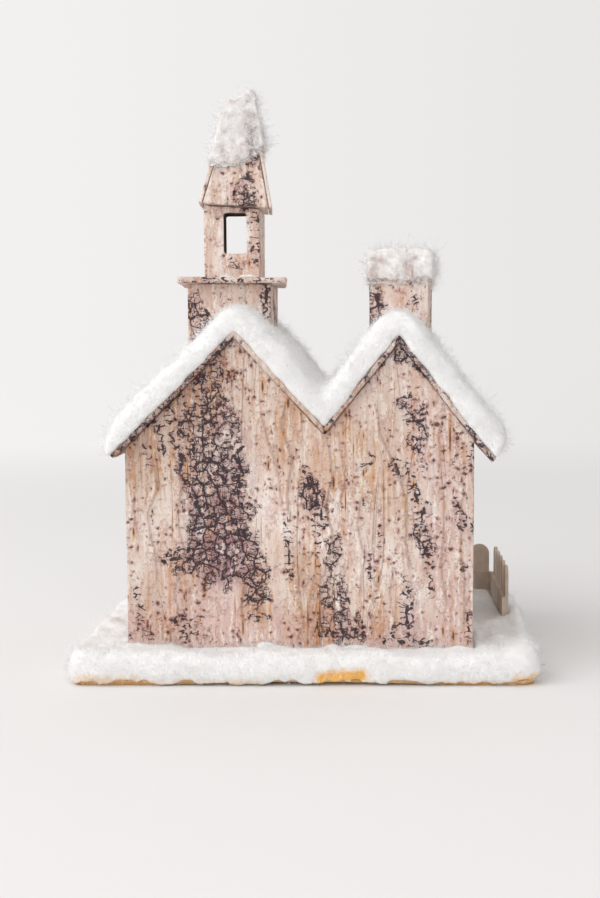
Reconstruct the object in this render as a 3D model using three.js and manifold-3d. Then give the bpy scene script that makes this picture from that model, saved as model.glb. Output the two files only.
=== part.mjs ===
// A twelve-inch Christmas house: chipboard walls and roofs covered with bark-print paper, under cotton snow.
// Two gables stand side by side. A bell tower with a leaning cap straddles the left ridge, a chimney the right one.
// Millimetres, +Z up. The origin is the middle of the base's underside. -Y is the plain back, +Y the door side.

import * as THREE from "three";
import { mergeVertices } from "three/addons/utils/BufferGeometryUtils.js";
import Module from "manifold-3d";

const wasm = await Module();
wasm.setup();

// Glue line between two cards, and the mitre gap where two roof cards meet
const glueGap = 0.3;

// Base board, arched a little underneath, with the hole that a small lamp goes up through. The yards are the widths
// of board left bare on each side of the house.
const leftYard = 26.5;
const rightYard = 30.5;
const backYard = 11;
const frontYard = 53;
const boardThickness = 9;
const boardCorner = 7;
const archLength = 150;
const archRise = 1.8;
const lampHoleDiameter = 28;

// Walls
const wallCard = 2;
const houseWidth = 174;
const houseDepth = 110;

// Roof line on the walls: heights above the board, and where the ridges and the valley come along the width
const leftEaveHeight = 108;
const leftRidgeHeight = 163;
const valleyHeight = 115;
const rightRidgeHeight = 160.5;
const rightEaveHeight = 112.5;
const leftRidgeAlong = 55.4;
const valleyAlong = 99.4;
const rightRidgeAlong = 136.5;
const roofCard = 2.2;
const leftEaveOverhang = 7;
const rightEaveOverhang = 14;
const gableOverhang = 3.5;

// Tower on the left ridge
const towerWidth = 43.2;
const towerDepth = 44;
const towerLeftOfRidge = 6.4;
const towerBackInset = 30;
const towerHeight = 191;
const ledgeCard = 3.2;
const ledgeOverhang = 6.5;
const ledgeCorner = 1.6;
const ledgeTurn = THREE.MathUtils.degToRad(5);

// Belfry on the tower's ledge
const belfryWidth = 29;
const belfryHeight = 37.1;
const belfryRightShift = 0.9;
const belfryCard = 1.8;
const backWindowWidth = 11.8;
const backWindowHeight = 20.7;
const backWindowRightShift = 1.7;
const frontWindowWidth = 12.6;
const frontWindowHeight = 22.8;
const belfrySill = 12.8;
const frontSillDrop = 1;

// Steep cap on the belfry, glued on askew
const capLean = THREE.MathUtils.degToRad(3.6);
const capTurn = THREE.MathUtils.degToRad(5);
const capRightShift = 0.9;
const capOverhang = 4.6;
const capCard = 1.8;
const capSeatCard = 1.5;
const capHeight = 53.5;
const capSlope = 0.234;

// Chimney on the right ridge, a little turned and off its middle
const chimneyWidth = 31;
const chimneyDepth = 24;
const chimneyBackInset = 36;
const chimneyRightShift = 1.6;
const chimneyTurn = THREE.MathUtils.degToRad(-7);
const chimneyHeight = 205.2;
const chimneyCard = 1.8;

// Door and windows
const doorWidth = 23;
const doorHeight = 40;
const doorCard = 1.5;
const doorFrameBand = 3;
const doorSill = 3;
const doorKnobDiameter = 2.4;
const windowWidth = 17;
const windowHeight = 27;
const windowSill = 34;
const gableWindowWidth = 12;
const gableWindowHeight = 17;
const gableWindowSill = 92;
const sideWindowSpread = 48;
const frameCard = 1.2;
const frameBand = 2.4;
const glazingBar = 1.4;
const paneFilm = 0.5;
const paneMargin = 4;

// Picket fence round the front yard
const picketWidth = 12;
const picketCard = 1.8;
const picketHeight = 36.2;
const picketPitch = 16;
const railCard = 1.8;
const railHeight = 13.5;
const railDrop = 17;
const fenceInset = 6;
const fenceFrontInset = 14;
const frontRightPickets = 7;
const frontLeftPickets = 3;
const rightPickets = 5;
const leftPickets = 2;

// Cotton snow
const snowOverhang = 3;
const groundSnow = 7.4;
const groundSnowLip = 1;
const groundSnowBulge = 7;
const bareEdgeAlong = 132;
const bareEdgeLength = 30;
const bareEdgeRise = 4.4;
const leftSnow = 11;
const rightSnow = 12;
const ridgeSnow = 12;
const valleySnow = 20.5;
const snowEaveLap = 1.2;
const capSnow = 1.8;
const capTuft = 6.4;
const capTuftLean = 2.8;
const capSnowTilt = 2.5;
const capSnowStart = 26.6;
const capSnowDip = 8.5;
const chimneySnow = 1.6;
const chimneySnowRight = 2.5;
const chimneySnowTop = 2.4;
const chimneySnowDrop = 14.5;

// Places that follow from the sizes
const boardWidth = leftYard + houseWidth + rightYard;
const boardDepth = backYard + houseDepth + frontYard;
const boardTop = boardThickness;
const houseLeft = -boardWidth / 2 + leftYard;
const houseRight = houseLeft + houseWidth;
const houseBack = -boardDepth / 2 + backYard;
const houseFront = houseBack + houseDepth;
const houseMiddle = (houseBack + houseFront) / 2;
const leftRidgeX = houseLeft + leftRidgeAlong;
const valleyX = houseLeft + valleyAlong;
const rightRidgeX = houseLeft + rightRidgeAlong;

const colours = {
  bark: new THREE.MeshStandardMaterial({ color: 0xd0b8ab, roughness: 0.75, metalness: 0 }),
  snow: new THREE.MeshStandardMaterial({ color: 0xf2efed, roughness: 1, metalness: 0 }),
  board: new THREE.MeshStandardMaterial({ color: 0xe2a860, roughness: 0.7, metalness: 0 }),
  fence: new THREE.MeshStandardMaterial({ color: 0xb9ad9f, roughness: 0.8, metalness: 0 }),
  door: new THREE.MeshStandardMaterial({ color: 0x6f3b33, roughness: 0.7, metalness: 0 }),
  pane: new THREE.MeshStandardMaterial({ color: 0xf0c667, roughness: 0.2, metalness: 0 }),
};

const house = new THREE.Group();

function add(name, geometry, material, parent = house) {
  const mesh = new THREE.Mesh(geometry, material);
  mesh.name = name;
  parent.add(mesh);
  return mesh;
}

// A box between two corners
function block(low, high) {
  const size = high.map((value, axis) => value - low[axis]);
  const middle = high.map((value, axis) => (value + low[axis]) / 2);
  return new THREE.BoxGeometry(...size).translate(...middle);
}

// Outlines given as [across, up] pairs, extruded along Y, X or Z
function flatShape(outline) {
  return new THREE.Shape(outline.map(([u, v]) => new THREE.Vector2(u, v)));
}

function alongY(shape, start, end) {
  const geometry = new THREE.ExtrudeGeometry(shape, { depth: end - start, bevelEnabled: false, curveSegments: 12 });
  return geometry.rotateX(Math.PI / 2).translate(0, end, 0);
}

function alongX(shape, start, end) {
  const geometry = new THREE.ExtrudeGeometry(shape, { depth: end - start, bevelEnabled: false, curveSegments: 12 });
  const turn = new THREE.Matrix4().makeBasis(
    new THREE.Vector3(0, 1, 0),
    new THREE.Vector3(0, 0, 1),
    new THREE.Vector3(1, 0, 0),
  );
  return geometry.applyMatrix4(turn).translate(start, 0, 0);
}

function alongZ(shape, start, end) {
  const geometry = new THREE.ExtrudeGeometry(shape, { depth: end - start, bevelEnabled: false, curveSegments: 12 });
  return geometry.translate(0, 0, start);
}

function toSolid(geometry) {
  const bare = geometry.clone();
  bare.deleteAttribute("normal");
  bare.deleteAttribute("uv");
  const merged = mergeVertices(bare, 1e-4);
  return new wasm.Manifold(new wasm.Mesh({
    numProp: 3,
    vertProperties: Float32Array.from(merged.attributes.position.array),
    triVerts: Uint32Array.from(merged.index.array),
  }));
}

function toGeometry(solid) {
  const mesh = solid.getMesh();
  const geometry = new THREE.BufferGeometry();
  geometry.setAttribute("position", new THREE.BufferAttribute(Float32Array.from(mesh.vertProperties), 3));
  geometry.setIndex(new THREE.BufferAttribute(Uint32Array.from(mesh.triVerts), 1));
  return geometry;
}

function cut(geometry, ...cutters) {
  return toGeometry(cutters.reduce((solid, cutter) => solid.subtract(toSolid(cutter)), toSolid(geometry)));
}

function common(geometry, other) {
  return toGeometry(toSolid(geometry).intersect(toSolid(other)));
}

// A closed skin through matching loops of points, with both ends filled. The ends lie flat in the plane of two axes.
function loft(loops, across, up) {
  const count = loops[0].length;
  const positions = loops.flatMap((loop) => loop.flatMap((point) => point.toArray()));
  const index = [];
  for (let ring = 0; ring < loops.length - 1; ring += 1) {
    for (let i = 0; i < count; i += 1) {
      const a = ring * count + i;
      const b = ring * count + ((i + 1) % count);
      index.push(a, b, b + count, a, b + count, a + count);
    }
  }
  const last = (loops.length - 1) * count;
  const end = loops[0].map((point) => new THREE.Vector2(point[across], point[up]));
  const onward = THREE.ShapeUtils.area(end) > 0;
  for (const face of THREE.ShapeUtils.triangulateShape(end, [])) {
    const [a, b, c] = onward ? face : face.toReversed();
    index.push(c, b, a, last + a, last + b, last + c);
  }
  const geometry = new THREE.BufferGeometry();
  geometry.setAttribute("position", new THREE.Float32BufferAttribute(positions, 3));
  geometry.setIndex(index);
  const solid = toSolid(geometry);
  if (solid.volume() > 0) return geometry;
  for (let i = 0; i < index.length; i += 3) [index[i], index[i + 1]] = [index[i + 1], index[i]];
  geometry.setIndex(index);
  return geometry;
}

// The roof's zigzag line, raised square off the walls by a distance, as points from the left eave to the right one
function roofLine(raise, leftRun = 0, rightRun = 0) {
  const onWalls = [
    new THREE.Vector2(houseLeft, boardTop + leftEaveHeight),
    new THREE.Vector2(leftRidgeX, boardTop + leftRidgeHeight),
    new THREE.Vector2(valleyX, boardTop + valleyHeight),
    new THREE.Vector2(rightRidgeX, boardTop + rightRidgeHeight),
    new THREE.Vector2(houseRight, boardTop + rightEaveHeight),
  ];
  const slopes = onWalls.slice(1).map((point, i) => {
    const along = point.clone().sub(onWalls[i]).normalize();
    const start = onWalls[i].clone().add(new THREE.Vector2(-along.y, along.x).multiplyScalar(raise));
    return { start, along, length: point.distanceTo(onWalls[i]) };
  });
  const crossings = slopes.slice(1).map((slope, i) => {
    const before = slopes[i];
    const gap = slope.start.clone().sub(before.start);
    const reach = gap.cross(slope.along) / before.along.cross(slope.along);
    return before.start.clone().addScaledVector(before.along, reach);
  });
  const first = slopes[0].start.clone().addScaledVector(slopes[0].along, -leftRun);
  const right = slopes[3];
  const final = right.start.clone().addScaledVector(right.along, right.length + rightRun);
  return [first, ...crossings, final];
}

// Everything below the roof cards' upper faces, for scribing what stands on the roof
function roofMass(raise, start, end) {
  const line = roofLine(raise, leftEaveOverhang * 4, rightEaveOverhang * 4);
  const outline = [...line, new THREE.Vector2(line[4].x, 0), new THREE.Vector2(line[0].x, 0)];
  return alongY(new THREE.Shape(outline), start, end);
}

function roundedRectangle(width, depth, radius) {
  const shape = new THREE.Shape();
  const [x, y] = [width / 2, depth / 2];
  shape.moveTo(-x + radius, -y).absarc(x - radius, -y + radius, radius, -Math.PI / 2, 0);
  shape.absarc(x - radius, y - radius, radius, 0, Math.PI / 2);
  shape.absarc(-x + radius, y - radius, radius, Math.PI / 2, Math.PI);
  shape.absarc(-x + radius, -y + radius, radius, Math.PI, Math.PI * 1.5);
  return shape;
}

function makeBoard() {
  const plan = alongZ(roundedRectangle(boardWidth, boardDepth, boardCorner), 0, boardThickness);
  const side = new THREE.Shape();
  side.moveTo(-archLength / 2, -1).lineTo(-archLength / 2, 0).quadraticCurveTo(0, archRise * 2, archLength / 2, 0);
  side.lineTo(archLength / 2, -1);
  const arch = alongY(side, -boardDepth, boardDepth);
  const lampHole = new THREE.CylinderGeometry(lampHoleDiameter / 2, lampHoleDiameter / 2, boardThickness * 3, 32);
  lampHole.rotateX(Math.PI / 2).translate((houseLeft + houseRight) / 2, houseMiddle, boardThickness / 2);
  add("base_board", cut(plan, arch, lampHole), colours.board);
}

// Where the windows are cut: middle along the wall, sill above the board, width and height
const frontWindows = {
  front_window: [rightRidgeX, windowSill, windowWidth, windowHeight],
  left_gable_window: [leftRidgeX, gableWindowSill, gableWindowWidth, gableWindowHeight],
  right_gable_window: [rightRidgeX, gableWindowSill, gableWindowWidth, gableWindowHeight],
};
const sideWindows = {
  back: [houseMiddle - sideWindowSpread / 2, windowSill, windowWidth, windowHeight],
  front: [houseMiddle + sideWindowSpread / 2, windowSill, windowWidth, windowHeight],
};

// An upright rectangle with a half-round head, grown on all sides by a margin
function archedOutline([middle, sill, width, height], margin = 0) {
  const half = width / 2 + margin;
  const foot = boardTop + sill - margin;
  const spring = boardTop + sill + height - width / 2;
  const shape = new THREE.Shape();
  shape.moveTo(middle - half, foot).lineTo(middle + half, foot).lineTo(middle + half, spring);
  shape.absarc(middle, spring, half, 0, Math.PI, false);
  shape.lineTo(middle - half, foot);
  return shape;
}

function makeWalls() {
  const roof = roofLine(0);
  const gableOutline = [[houseLeft, boardTop], [houseRight, boardTop], ...roof.toReversed().map((p) => p.toArray())];
  add("rear_wall", alongY(flatShape(gableOutline), houseBack, houseBack + wallCard), colours.bark);
  const front = alongY(flatShape(gableOutline), houseFront - wallCard, houseFront);
  const lights = Object.values(frontWindows).map((light) => (
    alongY(archedOutline(light), houseFront - wallCard * 2, houseFront + wallCard)
  ));
  add("front_wall", cut(front, ...lights), colours.bark);

  const sides = { left_wall: [houseLeft, roof[0].y], right_wall: [houseRight - wallCard, roof[4].y] };
  for (const [name, [x, top]] of Object.entries(sides)) {
    const start = [x, houseBack + wallCard + glueGap, boardTop];
    const card = block(start, [x + wallCard, houseFront - wallCard - glueGap, top]);
    const openings = Object.values(sideWindows).map((light) => (
      alongX(archedOutline(light), x - wallCard, x + wallCard * 2)
    ));
    add(name, cut(card, ...openings, roofMassAbove()), colours.bark);
  }
}

// The space above the walls, where the roof cards lie
function roofMassAbove() {
  const line = roofLine(-glueGap, leftEaveOverhang * 4, rightEaveOverhang * 4);
  const sky = line[1].y * 2;
  const outline = [...line, new THREE.Vector2(line[4].x, sky), new THREE.Vector2(line[0].x, sky)];
  return alongY(new THREE.Shape(outline), houseBack, houseFront);
}

function rectangle(middle, level, width, height) {
  const [x, z] = [width / 2, height / 2];
  return flatShape([
    [middle - x, level - z], [middle + x, level - z], [middle + x, level + z], [middle - x, level + z],
  ]);
}

// A window's surround with a cross of glazing bars. The lay function sets a shape on the wall, deeper by some margin.
function windowFrame(light, lay) {
  const [middle, sill, width, height] = light;
  const level = boardTop + sill + height / 2;
  const bars = [rectangle(middle, level, glazingBar, height * 2), rectangle(middle, level, width * 2, glazingBar)];
  const opening = cut(lay(archedOutline(light), frameCard), ...bars.map((bar) => lay(bar, frameCard * 2)));
  return cut(lay(archedOutline(light, frameBand), 0), opening);
}

function makeWindows() {
  for (const [name, light] of Object.entries(frontWindows)) {
    const lay = (shape, margin) => alongY(shape, houseFront - margin, houseFront + frameCard + margin);
    add(`${name}_frame`, windowFrame(light, lay), colours.fence);
  }
  for (const [side, face] of [["left", houseLeft - frameCard], ["right", houseRight]]) {
    const lay = (shape, margin) => alongX(shape, face - margin, face + frameCard + margin);
    for (const [place, light] of Object.entries(sideWindows)) {
      add(`${side}_wall_${place}_window_frame`, windowFrame(light, lay), colours.fence);
    }
  }
  const frontInside = houseFront - wallCard - paneFilm;
  for (const [name, [middle, sill, width, height]] of Object.entries(frontWindows)) {
    const low = [middle - width / 2 - paneMargin, frontInside, boardTop + sill - paneMargin];
    const high = [middle + width / 2 + paneMargin, houseFront - wallCard, boardTop + sill + height + paneMargin];
    add(`${name}_pane`, block(low, high), colours.pane);
  }
  const reach = sideWindowSpread / 2 + windowWidth / 2 + paneMargin;
  const paneInside = { left: houseLeft + wallCard, right: houseRight - wallCard - paneFilm };
  for (const [side, x] of Object.entries(paneInside)) {
    const low = [x, houseMiddle - reach, boardTop + windowSill - paneMargin];
    const high = [x + paneFilm, houseMiddle + reach, boardTop + windowSill + windowHeight + paneMargin];
    add(`${side}_wall_pane`, block(low, high), colours.pane);
  }
}

function makeDoor() {
  const door = [leftRidgeX, doorSill, doorWidth, doorHeight];
  add("front_door", alongY(archedOutline(door), houseFront, houseFront + doorCard), colours.door);
  const surround = archedOutline(door, doorFrameBand);
  const inside = archedOutline(door, glueGap).getPoints(12);
  surround.holes.push(new THREE.Path(inside.reverse()));
  add("door_frame", alongY(surround, houseFront, houseFront + doorCard * 1.4), colours.fence);
  const knob = new THREE.SphereGeometry(doorKnobDiameter / 2, 12, 8);
  knob.translate(leftRidgeX + doorWidth * 0.34, houseFront + doorCard, boardTop + doorSill + doorHeight * 0.42);
  add("door_knob", cut(knob, block(
    [leftRidgeX - doorWidth, houseFront - doorKnobDiameter, boardTop],
    [leftRidgeX + doorWidth, houseFront + doorCard + glueGap / 3, boardTop + doorHeight],
  )), colours.board);
}

function makeRoofs() {
  const under = roofLine(glueGap, leftEaveOverhang, rightEaveOverhang);
  const over = roofLine(glueGap + roofCard, leftEaveOverhang, rightEaveOverhang);
  const names = ["left_outer_roof", "left_inner_roof", "right_inner_roof", "right_outer_roof"];
  names.forEach((name, i) => {
    const along = under[i + 1].clone().sub(under[i]).normalize().multiplyScalar(glueGap / 2);
    const startTrim = i === 0 ? 0 : 1;
    const endTrim = i === 3 ? 0 : -1;
    const outline = [
      under[i].clone().addScaledVector(along, startTrim),
      under[i + 1].clone().addScaledVector(along, endTrim),
      over[i + 1].clone().addScaledVector(along, endTrim),
      over[i].clone().addScaledVector(along, startTrim),
    ];
    add(name, alongY(new THREE.Shape(outline), houseBack - gableOverhang, houseFront + gableOverhang), colours.bark);
  });
}

// Turns a geometry about an upright line
function turned(geometry, x, y, angle) {
  return geometry.translate(-x, -y, 0).rotateZ(angle).translate(x, y, 0);
}

// Four cards in a square tube: the back and front ones full width, the side ones between them
function tube(names, [left, right], [back, front], [low, high], card, cutters, turn = 0) {
  const cards = {
    rear: [[left, back, low], [right, back + card, high]],
    front: [[left, front - card, low], [right, front, high]],
    left: [[left, back + card + glueGap, low], [left + card, front - card - glueGap, high]],
    right: [[right - card, back + card + glueGap, low], [right, front - card - glueGap, high]],
  };
  for (const [side, corners] of Object.entries(cards)) {
    const geometry = turned(block(...corners), (left + right) / 2, (back + front) / 2, turn);
    add(`${names}_${side}_wall`, cut(geometry, ...cutters), colours.bark);
  }
}

const towerLeft = leftRidgeX - towerLeftOfRidge - towerWidth / 2;
const towerRight = towerLeft + towerWidth;
const towerBack = houseBack + towerBackInset;
const towerFront = towerBack + towerDepth;
const towerTop = boardTop + towerHeight;
const ledgeTop = towerTop + ledgeCard;
const roofFace = glueGap * 2 + roofCard;

function makeTower() {
  const foot = boardTop + valleyHeight / 2;
  const roofBelow = roofMass(roofFace, houseBack, houseFront);
  tube("tower", [towerLeft, towerRight], [towerBack, towerFront], [foot, towerTop], wallCard, [roofBelow]);
  const plan = roundedRectangle(towerWidth + ledgeOverhang * 2, towerDepth + ledgeOverhang * 2, ledgeCorner);
  const ledge = alongZ(plan, towerTop, ledgeTop).rotateZ(ledgeTurn);
  add("tower_ledge", ledge.translate((towerLeft + towerRight) / 2, (towerBack + towerFront) / 2, 0), colours.bark);
}

const belfryX = (towerLeft + towerRight) / 2 + belfryRightShift;
const belfryY = (towerBack + towerFront) / 2;
const capSeat = ledgeTop + belfryHeight;

// Above the belfry's slanting top
function overBelfry(raise) {
  const reach = belfryWidth * 2;
  const space = block([-reach, -reach, raise], [reach, reach, reach]);
  return space.rotateY(capLean).translate(belfryX + capRightShift, belfryY, capSeat);
}

function makeBelfry() {
  const half = belfryWidth / 2;
  const across = [belfryX - half, belfryX + half];
  const deep = [belfryY - half, belfryY + half];
  const sill = ledgeTop + belfrySill;
  const middle = belfryX + backWindowRightShift;
  const backWindow = block(
    [middle - backWindowWidth / 2, deep[0] - belfryCard, sill],
    [middle + backWindowWidth / 2, deep[0] + belfryCard * 2, sill + backWindowHeight],
  );
  const frontWindow = block(
    [belfryX - frontWindowWidth / 2, deep[1] - belfryCard * 2, sill - frontSillDrop],
    [belfryX + frontWindowWidth / 2, deep[1] + belfryCard, sill - frontSillDrop + frontWindowHeight],
  );
  const upTo = [ledgeTop, capSeat + belfryWidth / 4];
  const cutters = [backWindow, frontWindow, overBelfry(-glueGap)];
  tube("belfry", across, deep, upTo, belfryCard, cutters);
}

// A solid between a lower and an upper rectangle, each given as [x0, x1, y0, y1] at its height
function wedge([low, lowZ], [high, highZ]) {
  const corners = ([x0, x1, y0, y1], z) => [
    new THREE.Vector3(x0, y0, z), new THREE.Vector3(x1, y0, z), new THREE.Vector3(x1, y1, z), new THREE.Vector3(x0, y1, z),
  ];
  return loft([corners(low, lowZ), corners(high, highZ)], "x", "y");
}

// Half the cap's outer width at a height above its seat
const capWall = capCard * Math.hypot(1, capSlope);
const capHalf = (z) => belfryWidth / 2 + capOverhang - z * capSlope;
const capTopWidth = capHalf(capHeight) * 2;

function makeCap() {
  const cap = new THREE.Group();
  cap.position.set(belfryX + capRightShift, belfryY, capSeat);
  cap.rotation.set(0, capLean, capTurn, "YZX");
  house.add(cap);

  const [low, high] = [0, capHeight];
  const [wide, narrow] = [capHalf(low), capHalf(high)];
  for (const [name, sign] of [["cap_left_panel", -1], ["cap_right_panel", 1]]) {
    const span = (half) => [sign * half, sign * (half - capWall)].sort((a, b) => a - b);
    add(name, wedge([[...span(wide), -wide, wide], low], [[...span(narrow), -narrow, narrow], high]), colours.bark, cap);
  }
  for (const [name, sign] of [["cap_rear_panel", -1], ["cap_front_panel", 1]]) {
    const span = (half) => [sign * half, sign * (half - capWall)].sort((a, b) => a - b);
    const across = (half) => [-(half - capWall - glueGap), half - capWall - glueGap];
    const lowEnd = [[...across(wide), ...span(wide)], low];
    add(name, wedge(lowEnd, [[...across(narrow), ...span(narrow)], high]), colours.bark, cap);
  }
  const seat = capHalf(capSeatCard) - capWall - glueGap;
  add("cap_seat", block([-seat, -seat, 0], [seat, seat, capSeatCard]), colours.bark, cap);
  const lid = capTopWidth / 2;
  const lidBase = capHeight + glueGap;
  add("cap_lid", block([-lid, -lid, lidBase], [lid, lid, lidBase + capCard]), colours.bark, cap);
  makeCapSnow(cap);
}

// A square loop with rounded corners: eight points a side, drawn from a superellipse
function squircle(half, z, bend, shiftX = 0) {
  const points = [];
  const count = 32;
  for (let i = 0; i < count; i += 1) {
    const angle = (i / count) * Math.PI * 2;
    const [c, s] = [Math.cos(angle), Math.sin(angle)];
    const reach = half / Math.pow(Math.abs(c) ** bend + Math.abs(s) ** bend, 1 / bend);
    points.push(new THREE.Vector3(shiftX + c * reach, s * reach, z));
  }
  return points;
}

// The cotton round the cap's upper part, drawn up into a soft tip that leans a little more than the cap
// The cotton hangs in a tongue down the back of the cap, left of its middle: 1 at its tip, 0 away from it
function backDip(k, count) {
  const away = (k / count - 0.7) * 11;
  return Math.exp(-(away ** 2));
}

function makeCapSnow(cap) {
  const top = capHeight + glueGap + capCard;
  const loops = [];
  const steps = 8;
  for (let i = 0; i <= steps; i += 1) {
    const t = i / steps;
    const z = capSnowStart + (top - capSnowStart) * t;
    const swell = capSnow * (0.55 + 0.45 * Math.sin(Math.PI * (0.15 + 0.75 * t)));
    const loop = squircle(capHalf(z) + swell, z, 16);
    if (i === 0) {
      loop.forEach((point, k) => {
        const tilt = capSnowTilt * (point.x / capHalf(z));
        const drop = capSnowDip * backDip(k, loop.length) - 0.6 * Math.sin(k * 1.18) - tilt;
        const wider = (capHalf(z - drop) + swell) / (capHalf(z) + swell);
        point.set(point.x * wider, point.y * wider, z - drop);
      });
    }
    loops.push(loop);
  }
  for (const t of [0.15, 0.45, 0.75, 1]) {
    const half = (capTopWidth / 2 + capSnow * 0.7) * Math.cos(t * 1.3);
    loops.push(squircle(half, top + capTuft * Math.sin((t * Math.PI) / 2), 9 - 6 * t, t * t * capTuftLean));
  }
  const inner = wedge(
    [[...square(capHalf(0) + glueGap)], 0],
    [[...square(capHalf(capHeight + glueGap * 2) + glueGap)], capHeight + glueGap * 2],
  );
  const lid = capTopWidth / 2 + glueGap;
  const lidSpace = block([-lid, -lid, capHeight], [lid, lid, top + glueGap]);
  add("cap_snow", cut(loft(loops, "x", "y"), inner, lidSpace), colours.snow, cap);
}

function square(half) {
  return [-half, half, -half, half];
}

const chimneyX = rightRidgeX + chimneyRightShift;
const chimneyY = houseBack + chimneyBackInset + chimneyDepth / 2;
const chimneyTop = boardTop + chimneyHeight;

// A box round the chimney, wider by a margin
function chimneyBlock(low, high, margin = 0) {
  const [x, y] = [chimneyWidth / 2 + margin, chimneyDepth / 2 + margin];
  const box = block([chimneyX - x, chimneyY - y, low], [chimneyX + x, chimneyY + y, high]);
  return turned(box, chimneyX, chimneyY, chimneyTurn);
}

function makeChimney() {
  const foot = boardTop + valleyHeight / 2;
  const roofBelow = roofMass(roofFace, houseBack, houseFront);
  const across = [chimneyX - chimneyWidth / 2, chimneyX + chimneyWidth / 2];
  const deep = [chimneyY - chimneyDepth / 2, chimneyY + chimneyDepth / 2];
  tube("chimney", across, deep, [foot, chimneyTop], chimneyCard, [roofBelow], chimneyTurn);
  const lidTop = chimneyTop + chimneyCard;
  add("chimney_lid", chimneyBlock(chimneyTop, lidTop), colours.bark);

  const start = chimneyTop - chimneySnowDrop;
  const loops = [];
  for (const [t, grow] of [[0, 0.7], [0.3, 0.95], [0.65, 1], [0.86, 0.95], [0.96, 0.6], [1, -0.8]]) {
    const z = start + (lidTop + chimneySnowTop - start) * t;
    const loop = squircle(1, 0, 36);
    loop.forEach((point, k) => {
      const cover = point.x > 0 ? chimneySnowRight : chimneySnow;
      point.x = chimneyX + point.x * (chimneyWidth / 2 + cover * grow);
      point.y = chimneyY + point.y * (chimneyDepth / 2 + chimneySnow * grow);
      point.z = z + (t === 0 ? chimneySnow * 0.6 * Math.sin(k * 1.18) : 0);
    });
    loops.push(loop);
  }
  const cotton = turned(loft(loops, "x", "y"), chimneyX, chimneyY, chimneyTurn);
  add("chimney_snow", cut(cotton, chimneyBlock(foot, lidTop + glueGap, glueGap)), colours.snow);
}

// The fence stands on the board. A run's rail is glued to the house side of its pickets.
const sideFace = boardWidth / 2 - fenceInset - picketCard;
const fenceFront = boardDepth / 2 - fenceFrontInset;
const fenceTop = boardTop + picketHeight;
const railTop = fenceTop - railDrop;
const railTail = picketWidth * 0.55;

// Where a run starts, how many pickets it has, and how its outlines are set at a depth outside the rail's glue line
const fenceRuns = {
  front_right_fence: [sideFace - glueGap, frontRightPickets, -1, frontRunLay],
  front_left_fence: [-sideFace + glueGap, frontLeftPickets, 1, frontRunLay],
  right_fence: [fenceFront - railCard - glueGap, rightPickets, -1, (shape, inner, outer) => (
    alongX(shape, sideFace + inner, sideFace + outer)
  )],
  left_fence: [fenceFront - railCard - glueGap, leftPickets, -1, (shape, inner, outer) => (
    alongX(shape, -sideFace - outer, -sideFace - inner)
  )],
};

function frontRunLay(shape, inner, outer) {
  return alongY(shape, fenceFront + glueGap + inner, fenceFront + glueGap + outer);
}

function picketShape(middle) {
  const half = picketWidth / 2;
  const shape = new THREE.Shape();
  shape.moveTo(middle - half, boardTop).lineTo(middle + half, boardTop).lineTo(middle + half, fenceTop - half);
  shape.absarc(middle, fenceTop - half, half, 0, Math.PI, false);
  shape.lineTo(middle - half, boardTop);
  return shape;
}

// A strip along a run, from its start to just past its last picket
function runStrip(start, count, way, low, high, spare = 0) {
  const end = start + way * (picketPitch * (count - 0.5) + railTail + spare);
  const middle = (start - way * spare + end) / 2;
  return rectangle(middle, (low + high) / 2, Math.abs(end - start + way * spare), high - low);
}

function makeFence() {
  for (const [name, [start, count, way, lay]] of Object.entries(fenceRuns)) {
    const rail = toSolid(lay(runStrip(start, count, way, railTop - railHeight, railTop), -railCard, glueGap));
    const pickets = Array.from({ length: count }, (_, i) => (
      toSolid(lay(picketShape(start + way * picketPitch * (i + 0.5)), 0, picketCard))
    ));
    add(name, toGeometry(wasm.Manifold.union([rail, ...pickets])), colours.fence);
  }
}

// Slots in the ground snow, one for each run of the fence
function fenceSlots() {
  return Object.values(fenceRuns).map(([start, count, way, lay]) => (
    lay(runStrip(start, count, way, 0, fenceTop, glueGap), -railCard - glueGap, picketCard + glueGap)
  ));
}

// A loop round the base with soft corners, set in from the snow's widest line
function groundLoop(inset, height) {
  const [halfX, halfY] = [boardWidth / 2 + snowOverhang - inset, boardDepth / 2 + snowOverhang - inset];
  const radius = Math.min(Math.max(boardCorner + snowOverhang - inset, 2), halfX, halfY);
  const perCorner = 5;
  const perSide = 12;
  const points = [];
  const corners = [[1, -1, -Math.PI / 2], [1, 1, 0], [-1, 1, Math.PI / 2], [-1, -1, Math.PI]];
  corners.forEach(([sx, sy, start], k) => {
    const centre = new THREE.Vector2(sx * (halfX - radius), sy * (halfY - radius));
    for (let i = 0; i < perCorner; i += 1) {
      const angle = start + (i / (perCorner - 1)) * (Math.PI / 2);
      points.push(new THREE.Vector2(centre.x + radius * Math.cos(angle), centre.y + radius * Math.sin(angle)));
    }
    const from = points[points.length - 1];
    const [nx, ny, nextStart] = corners[(k + 1) % 4];
    const to = new THREE.Vector2(nx * (halfX - radius), ny * (halfY - radius));
    to.add(new THREE.Vector2(Math.cos(nextStart), Math.sin(nextStart)).multiplyScalar(radius));
    for (let i = 1; i < perSide; i += 1) points.push(from.clone().lerp(to, i / perSide));
  });
  return points.map((point) => new THREE.Vector3(point.x, point.y, height(point)));
}

// Soft heaps and hollows of the cotton, from -1 to 1
const heaps = (x, y) => 0.5 * Math.sin(x * 0.061 + 0.7) * Math.cos(y * 0.073 - 0.4) + 0.5 * Math.sin(x * 0.13 + y * 0.11);

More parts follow.
